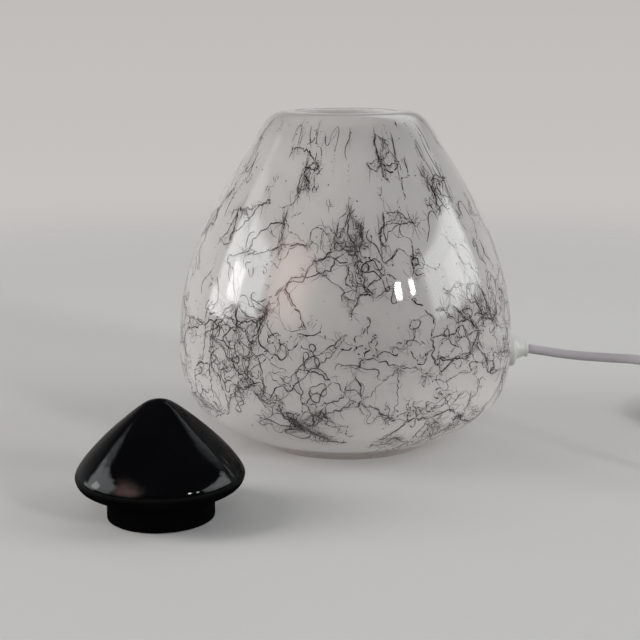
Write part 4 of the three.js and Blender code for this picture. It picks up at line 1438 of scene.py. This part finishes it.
class LAMP_OT_lid(bpy.types.Operator):
    """Makes the pointed black glass lid"""

    bl_idname = "lamp.lid"
    bl_label = "Lid"

    def execute(self, context):
        radius = (LID_HIGH.x - LID_LOW.x) / 2
        height = LID_HIGH.z - LID_COLLAR
        dome = smooth_through([(r * radius, LID_COLLAR + z * height, 0) for r, z in LID_SHARES], 130)
        dome = [(p.x, p.y) for p in dome]
        bore = LID_COLLAR_RADIUS - LID_WALL
        inside = []
        for (ax, ay), (bx, by) in zip(dome, dome[1:]):
            along = Vector((bx - ax, by - ay)).normalized()
            place = (bx - along.y * LID_WALL, by + along.x * LID_WALL)
            if 0 < place[0] < bore and place[1] > LID_COLLAR:
                inside.append(place)
        collar = [
            (bore, inside[0][1] - LID_WALL), (bore, 0), (LID_COLLAR_RADIUS, 0),
            (LID_COLLAR_RADIUS, LID_COLLAR), (dome[0][0], LID_COLLAR),
        ]
        outline = [
            (0, LID_HIGH.z - LID_WALL), *inside[::-1], *eased(collar, 0.0009), *dome[1:-1], (0, LID_HIGH.z),
        ]
        centre = (LID_LOW + LID_HIGH) / 2
        place = Matrix.Translation((centre.x, centre.y, 0))
        black = black_glass_finish(tuple(context.scene.lamp_glass.black))
        lid = turned("black_lid", outline, LID_SEGMENTS, black, place, 50)
        for vertex in lid.data.vertices:
            self.wave(vertex, centre)
        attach(lid, "lid")
        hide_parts("lid")
        bpy.data.collections["blockers"].objects.link(lid)
        return {"FINISHED"}

    def wave(self, vertex, centre):
        """Moves the dome in and out a little, as blown glass is, and never past the smooth shape."""
        broad, fine, most = 0.0001, 0.00004, 0.00012
        out = Vector((vertex.co.x - centre.x, vertex.co.y - centre.y, 0)).normalized()
        wave = broad * noise.noise(vertex.co * 90) + fine * noise.noise(vertex.co * 420)
        vertex.co += out * (wave - most) * smooth_step(vertex.co.z, LID_COLLAR, LID_COLLAR + 0.006)


SCREW_PITCH = 2.82  # the rise of the bulb's screw thread in one turn, in mm
SCREW_STEP = 0.24
FINISHES = {}


def finish_of(slot):
    """The finish of a fitting's material slot, made at its first use."""
    colours = bpy.context.scene.lamp_fittings
    makers = {
        "white_plastic": lambda: plastic(slot, tuple(colours.white), 0.34),
        "ivory_plastic": lambda: plastic(slot, tuple(colours.ivory), 0.4),
        "steel": lambda: metal(slot, (0.56, 0.57, 0.58), 0.36),
        "brass": lambda: metal(slot, (0.68, 0.48, 0.2), 0.34),
        "nickel": lambda: metal(slot, (0.68, 0.67, 0.64), 0.24),
        "filament": lambda: metal(slot, (0.14, 0.13, 0.12), 0.5),
        "black_rubber": rubber_finish,
        "felt": felt_finish,
        "ceramic": ceramic_finish,
        "dark_glass": dark_glass_finish,
        "clear_glass": clear_glass_finish,
    }
    if slot not in FINISHES:
        FINISHES[slot] = makers[slot]()
    return FINISHES[slot]


def slot_of(node):
    return next(part["material_slot"] for part in frame["record"]["subparts"] if part["node"] == node)


def dressed(made, node, body="lamp"):
    """Puts a finished piece in its CAD node's stead."""
    if not made.data.materials:
        made.data.materials.append(finish_of(slot_of(node)))
    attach(made, body)
    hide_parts(node)
    return made


def ring(radius, low, high, hole=0.0):
    """Outline in mm of a disc or a ring."""
    if not hole:
        return [(0, low), (radius, low), (radius, high), (0, high)]
    middle = (low + high) / 2
    return [(hole, middle), (hole, low), (radius, low), (radius, high), (hole, high), (hole, middle)]


def lathed(node, outline, place=None, body="lamp", segments=SMALL_SEGMENTS, ease=0.3, shape=None, bore=None):
    """A fitting turned from an outline in mm, with eased edges.

    shape moves each of its vertices. bore is the place, radius and reach of a hole along X.
    """
    outline = eased([(r / 1000, z / 1000) for r, z in outline], ease / 1000)
    made = turned(node + "_piece", outline, segments, place=place)
    if shape:
        for vertex in made.data.vertices:
            shape(vertex.co)
    if bore:
        bored(made, *bore)
    crisp(made, 35)
    return dressed(made, node, body)


def refined(node, width, body="lamp"):
    """A merged copy of a CAD mesh with its sharp edges eased, by a width in mm."""
    source = frame["nodes"][node]
    whole = bmesh.new()
    whole.from_mesh(source.data)
    bmesh.ops.transform(whole, matrix=source.matrix_world, verts=whole.verts)
    bmesh.ops.remove_doubles(whole, verts=whole.verts, dist=1e-6)
    bmesh.ops.dissolve_limit(whole, angle_limit=math.radians(2), verts=whole.verts, edges=whole.edges)
    sharp = [e for e in whole.edges if len(e.link_faces) == 2 and e.calc_face_angle(0) > math.radians(30)]
    bmesh.ops.bevel(
        whole, geom=sharp, offset=width / 1000, segments=3, profile=0.5, affect="EDGES", clamp_overlap=True,
    )
    mesh = bpy.data.meshes.new(node + "_piece")
    whole.to_mesh(mesh)
    whole.free()
    made = placed(node + "_piece", mesh)
    crisp(made, 32)
    return dressed(made, node, body)


def heights(node):
    """The bottom and top of a CAD node in mm."""
    low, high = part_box(node)
    return low.z * 1000, high.z * 1000


def lengths(node):
    """The two ends of a CAD node along Y, in mm."""
    low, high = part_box(node)
    return low.y * 1000, high.y * 1000


def stood(node):
    """The place of a fitting that stands upright at its CAD node."""
    low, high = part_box(node)
    return Matrix.Translation(((low.x + high.x) / 2, (low.y + high.y) / 2, 0))


def laid(node):
    """The place of a fitting whose axis lies along Y at its CAD node."""
    low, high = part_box(node)
    middle = Matrix.Translation(((low.x + high.x) / 2, 0, (low.z + high.z) / 2))
    return middle @ Matrix.Rotation(math.radians(-90), 4, "X")


def crossed(y, z):
    """The place of a fitting whose axis lies along X."""
    return Matrix.Translation((0, y, z)) @ Matrix.Rotation(math.radians(90), 4, "Y")


def thread_rolled(low, high, pitch, depth, least):
    """A shape that rolls a screw thread inwards between two heights in mm, outside a least radius."""
    def shape(at):
        z, radius = at.z * 1000, math.hypot(at.x, at.y) * 1000
        if radius < least:
            return
        share = smooth_step(z, low, low + pitch) * (1 - smooth_step(z, high - pitch, high))
        wave = 0.5 - 0.5 * math.cos(FULL * z / pitch - math.atan2(at.y, at.x))
        at.xy *= 1 - depth * share * wave / radius
    return shape


def steps(radius, low, high, step):
    """Places in mm up a straight side."""
    count = max(round((high - low) / step), 1)
    return [(radius, low + (high - low) * i / count) for i in range(count + 1)]


class LAMP_OT_bushing(bpy.types.Operator):
    """Makes the bushing in the glass, its washer and its nut"""

    bl_idname = "lamp.bushing"
    bl_label = "Bushing"

    def execute(self, context):
        place = crossed(0, CORD_HEIGHT)
        low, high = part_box("cord_bushing")
        inner, tip = low.x * 1000, high.x * 1000
        flange_radius, flange, nose, bore, start = (high.z - low.z) * 500, 2.4, 7.1, 2.8, 85
        seat = tip - nose - flange
        outline = [
            (bore, start), (bore, inner), (5, inner), (5, seat), (7, seat), (flange_radius, seat),
            (flange_radius, seat + flange * 0.55), (flange_radius - 1.2, seat + flange),
            (6.6, seat + flange + 0.2), (5.5, seat + flange + 1.2), (4.6, tip - 3.6), (3.95, tip - 1.7),
            (4.4, tip - 1.4), (4.4, tip), (bore, tip), (bore, start),
        ]
        glass = Skin(0).rows
        shank, clear = 0.0053, 0.00008  # in metres, as the vertices are

        def hug(at):
            """Lays the back of the flange on the round glass."""
            rise = (at.x * 1000 - seat) / (flange * 0.5)
            if math.hypot(at.y, at.z - CORD_HEIGHT) > shank and rise < 1:
                r = next(r for r, z in glass if z >= at.z)
                at.x += (math.sqrt(r * r - at.y ** 2) + clear - seat / 1000) * (1 - max(rise, 0))

        lathed("cord_bushing", outline, place, segments=WIDE_SEGMENTS, ease=0.5, shape=hug)
        low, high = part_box("bushing_washer")
        washer = ring((high.z - low.z) * 500, low.x * 1000, high.x * 1000, 5.3)
        lathed("bushing_washer", washer, place, segments=64, ease=0.4)
        refined("bushing_nut", 0.35)
        return {"FINISHED"}


class LAMP_OT_holder(bpy.types.Operator):
    """Makes the lampholder on its weighted foot"""

    bl_idname = "lamp.holder"
    bl_label = "Lampholder"

    def execute(self, context):
        rings = {
            "holder_pad": (24.5, 11, 0.5), "holder_base": (24.5, 5.3, 0.6), "holder_skirt": (14, 12.4, 0.7),
            "holder_contact_centre": (2.4, 0, 0.4), "holder_tube": (5, 3.4, 0.3),
        }
        for node, (radius, hole, ease) in rings.items():
            segments = WIDE_SEGMENTS if radius > 10 else SMALL_SEGMENTS
            lathed(node, ring(radius, *heights(node), hole), segments=segments, ease=ease)
        low, high = heights("holder_cap")
        hole, radius, wall, floor = 5.3, 14, 1.6, 2
        cap = [
            (hole, low + 1), (hole, low), (radius, low), (radius, high), (radius - wall, high),
            (radius - wall, low + floor), (hole, low + floor), (hole, low + 1),
        ]
        lead_hole = Matrix.Translation((0.0135, 0, (heights("holder_tube")[1] + 3.5) / 1000))
        lathed("holder_cap", cap, segments=WIDE_SEGMENTS, ease=0.8, bore=(lead_hole, 0.0032, 0.004))
        low, high = heights("holder_insert")
        radius, well, depth = 12.1, 8.3, 12
        insert = [
            (0, low), (radius, low), (radius, high), (well, high), (well, high - depth), (0, high - depth),
        ]
        lathed("holder_insert", insert, segments=WIDE_SEGMENTS, ease=0.5)
        low, high = heights("holder_screw_shell")
        middle, inner, outer = (low + high) / 2, 7.3, 7.7
        shell = [(inner, middle)] + steps(inner, low, middle, SCREW_STEP)[::-1][1:]
        shell += steps(outer, low, high, SCREW_STEP) + steps(inner, middle, high, SCREW_STEP)[::-1]
        rolled = thread_rolled(low + 1, high - 1, SCREW_PITCH, 0.28, 1)
        lathed("holder_screw_shell", shell, segments=72, ease=0, shape=rolled)
        for node in ("holder_terminal_1", "holder_terminal_2"):
            lathed(node, ring(2.5, *heights(node)), stood(node), segments=40)
        for node in ("holder_nut_below", "holder_nut_above", "holder_nut_cap"):
            refined(node, 0.35)
        refined("holder_contact_side", 0.2)
        return {"FINISHED"}


class LAMP_OT_bulb(bpy.types.Operator):
    """Makes the small globe bulb with its screw cap and coiled filament"""

    bl_idname = "lamp.bulb"
    bl_label = "Bulb"

    def execute(self, context):
        lathed("bulb_contact", ring(2.2, *heights("bulb_contact")), body="bulb", segments=40, ease=0.5)
        lathed("bulb_insulator", ring(3.9, *heights("bulb_insulator")), body="bulb")
        low, cap_top = heights("bulb_cap")
        wall, cone, radius, eyelet = 0.45, 2.2, 6.9, 4.2
        cap = [
            (eyelet, low), *steps(radius, low + cone, cap_top, SCREW_STEP),
            *steps(radius - wall, low + cone, cap_top, SCREW_STEP)[::-1],
            (eyelet, low + 2 * wall), (eyelet, low),
        ]
        rolled = thread_rolled(low + 3, cap_top - 9, SCREW_PITCH, 0.6, 5)
        lathed("bulb_cap", cap, body="bulb", segments=72, ease=0, shape=rolled)

        neck_low, top = heights("bulb_glass")
        radius, thick, neck, joint = 22.5, 0.8, 6.15, 9.9
        middle, neck_top = top - radius, cap_top + 0.3
        outline = [
            *self.globe(middle, radius - thick, joint - thick)[::-1], (neck - thick, neck_top),
            (neck - thick, neck_low), (neck, neck_low), (neck, neck_top), *self.globe(middle, radius, joint),
        ]
        lathed("bulb_glass", outline, body="bulb", segments=WIDE_SEGMENTS, ease=0)
        low, high = heights("bulb_stem")
        flare = neck - thick - 0.3
        stem = [
            (0, low), (flare, low), (flare, low + 1.2), (flare * 0.72, low + 2.2), (2.7, low + 4),
            (2.6, low + 5.2), (2.4, high - 3), (2.6, high - 1.6), (1.8, high), (0, high),
        ]
        lathed("bulb_stem", stem, body="bulb", ease=0.9)
        self.filament()
        return {"FINISHED"}

    def globe(self, middle, radius, start):
        """Places in mm from the neck of the globe over to its top."""
        first = -math.acos(start / radius)
        angles = [first + (math.pi / 2 - first) * i / 36 for i in range(36)]
        side = [(radius * math.cos(a), middle + radius * math.sin(a)) for a in angles]
        return side + [(0, middle + radius)]

    def filament(self):
        """Two stiff wires and a third from the stem, and the fine coil that hangs between them."""
        low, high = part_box("bulb_filament")
        foot, reach, base = 0.0013, high.x - 0.0008, low.z + 0.0004
        shoulder, crown = high.z - 0.0018, high.z - 0.0006
        rows = []
        for side in (-1, 1):
            wire = [(side * foot, base), (side * foot * 1.6, base + 0.004), (side * reach, shoulder)]
            rows.append([(Vector((x, 0, z)), 0.00022, 0) for x, z in wire])
        rows.append([(Vector((0, 0, z)), 0.00014, 0) for z in (base, crown)])
        parts, turns, turn_steps, coil_radius, coil_wire = 60, 44, 8, 0.00022, 0.00007
        track = smooth_through([(-reach, 0, shoulder), (0, 0, crown), (reach, 0, shoulder)], parts)
        coil = []
        for i in range(turns * turn_steps + 1):
            share = i / (turns * turn_steps) * parts
            k = min(int(share), parts - 1)
            at = track[k].lerp(track[k + 1], share - k)
            along = (track[k + 1] - track[k]).normalized()
            up, aside = Vector((-along.z, 0, along.x)), Vector((0, 1, 0))
            angle = FULL * i / turn_steps
            out = up * math.cos(angle) + aside * math.sin(angle)
            coil.append((at + out * coil_radius, coil_wire, 0))
        rows.append(coil)
        source = rows_of_points("filament_rows", rows)
        values = {"Sides": 6, "Material": finish_of("filament")}
        grown = strand_plan().grown("bulb_filament_wires", source, values)
        dressed(grown, "bulb_filament", "bulb")


class LAMP_OT_cord_fittings(bpy.types.Operator):
    """Makes the switch in the cord, the tie round the coil and the plug"""

    bl_idname = "lamp.cord_fittings"
    bl_label = "Switch, tie and plug"

    def execute(self, context):
        widths = {
            "switch_lower": 0.25, "switch_upper": 0.25, "switch_rocker": 0.4, "switch_contact_1": 0.12,
            "switch_contact_2": 0.12, "cord_tie": 0.2, "plug_body": 0.5,
        }
        for node, width in widths.items():
            refined(node, width, "rocker" if node == "switch_rocker" else "lamp")
        low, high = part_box("switch_pin")
        place = crossed((low.y + high.y) / 2, (low.z + high.z) / 2)
        lathed("switch_pin", ring(1, low.x * 1000, high.x * 1000), place, segments=32, ease=0.2)
        for node in ("switch_screw_1", "switch_screw_2"):
            base, top = heights(node)
            screw = [(0, base), (2.6, base), (2.6, 1.6), (1.4, 1.6), (1.4, top), (0, top)]
            lathed(node, screw, stood(node), segments=32, ease=0.25)
        self.relief()
        for side in (1, 2):
            pin, sleeve = f"plug_pin_{side}", f"plug_sleeve_{side}"
            place = laid(pin)
            start, end = lengths(pin)
            low, high = lengths(sleeve)
            step = high + 0.3
            outline = [
                (0, start), (1.3, start), (1.3, step), (2, step), (2, end - 1.6), (1.7, end - 0.6), (1, end),
                (0, end),
            ]
            lathed(pin, outline, place, segments=40, ease=0.4)
            sleeve_low, sleeve_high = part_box(sleeve)
            outline = ring((sleeve_high.x - sleeve_low.x) * 500, low, high, 1.6)
            lathed(sleeve, outline, place, segments=40, ease=0.2)
        return {"FINISHED"}

    def relief(self):
        """The plug's soft tail, which widens towards the plug in grooved steps."""
        start, end = lengths("plug_relief")
        thin, growth, deep, grooves = 3.4, 1.656, 0.55, 6
        outline = [(0, start)]
        for i in range(grooves * 2 + 1):
            share = i / (grooves * 2)
            at, radius = start + (end - 2 - start) * share, thin + growth * share
            if i % 2:
                outline += [(radius - deep, at - 0.4), (radius - deep, at + 0.6)]
            else:
                outline += [(radius, at), (radius, at + 1)]
        outline += [(5.2, end - 0.5), (5.2, end), (0, end)]
        lathed("plug_relief", outline, laid("plug_relief"), segments=64)


class LAMP_PT_panel(bpy.types.Panel):
    """Lists the lamp's pieces and sizes"""

    bl_idname = "LAMP_PT_panel"
    bl_label = "Glass table lamp"
    bl_space_type = "VIEW_3D"
    bl_region_type = "UI"
    bl_category = "Lamp"

    def draw(self, context):
        for group in ("lamp_glass", "lamp_threads", "lamp_fittings", "lamp_stage"):
            box = self.layout.box()
            values = getattr(context.scene, group)
            for key in values.__annotations__:
                box.prop(values, key)
        for operator in OPERATORS:
            self.layout.operator(operator.bl_idname)


GROUPS = {
    "lamp_glass": LampGlassSizes,
    "lamp_threads": LampThreadSizes,
    "lamp_fittings": LampFittingColours,
    "lamp_stage": LampStageSizes,
}
OPERATORS = [
    LAMP_OT_camera, LAMP_OT_cord, LAMP_OT_stage, LAMP_OT_glass_body, LAMP_OT_threads, LAMP_OT_lid,
    LAMP_OT_bushing, LAMP_OT_holder, LAMP_OT_bulb, LAMP_OT_cord_fittings,
]


def register():
    for made in [*GROUPS.values(), *OPERATORS, LAMP_PT_panel]:
        bpy.utils.register_class(made)
    for name, group in GROUPS.items():
        setattr(bpy.types.Scene, name, bpy.props.PointerProperty(type=group))


def unregister():
    for name in GROUPS:
        delattr(bpy.types.Scene, name)
    for made in reversed([*GROUPS.values(), *OPERATORS, LAMP_PT_panel]):
        bpy.utils.unregister_class(made)


def main():
    register()
    bpy.ops.lamp.camera()
    bpy.ops.lamp.cord()
    bpy.ops.lamp.stage()
    bpy.ops.lamp.glass_body()
    bpy.ops.lamp.threads()
    bpy.ops.lamp.lid()
    bpy.ops.lamp.bushing()
    bpy.ops.lamp.holder()
    bpy.ops.lamp.bulb()
    bpy.ops.lamp.cord_fittings()


if __name__ == "__main__":
    main()
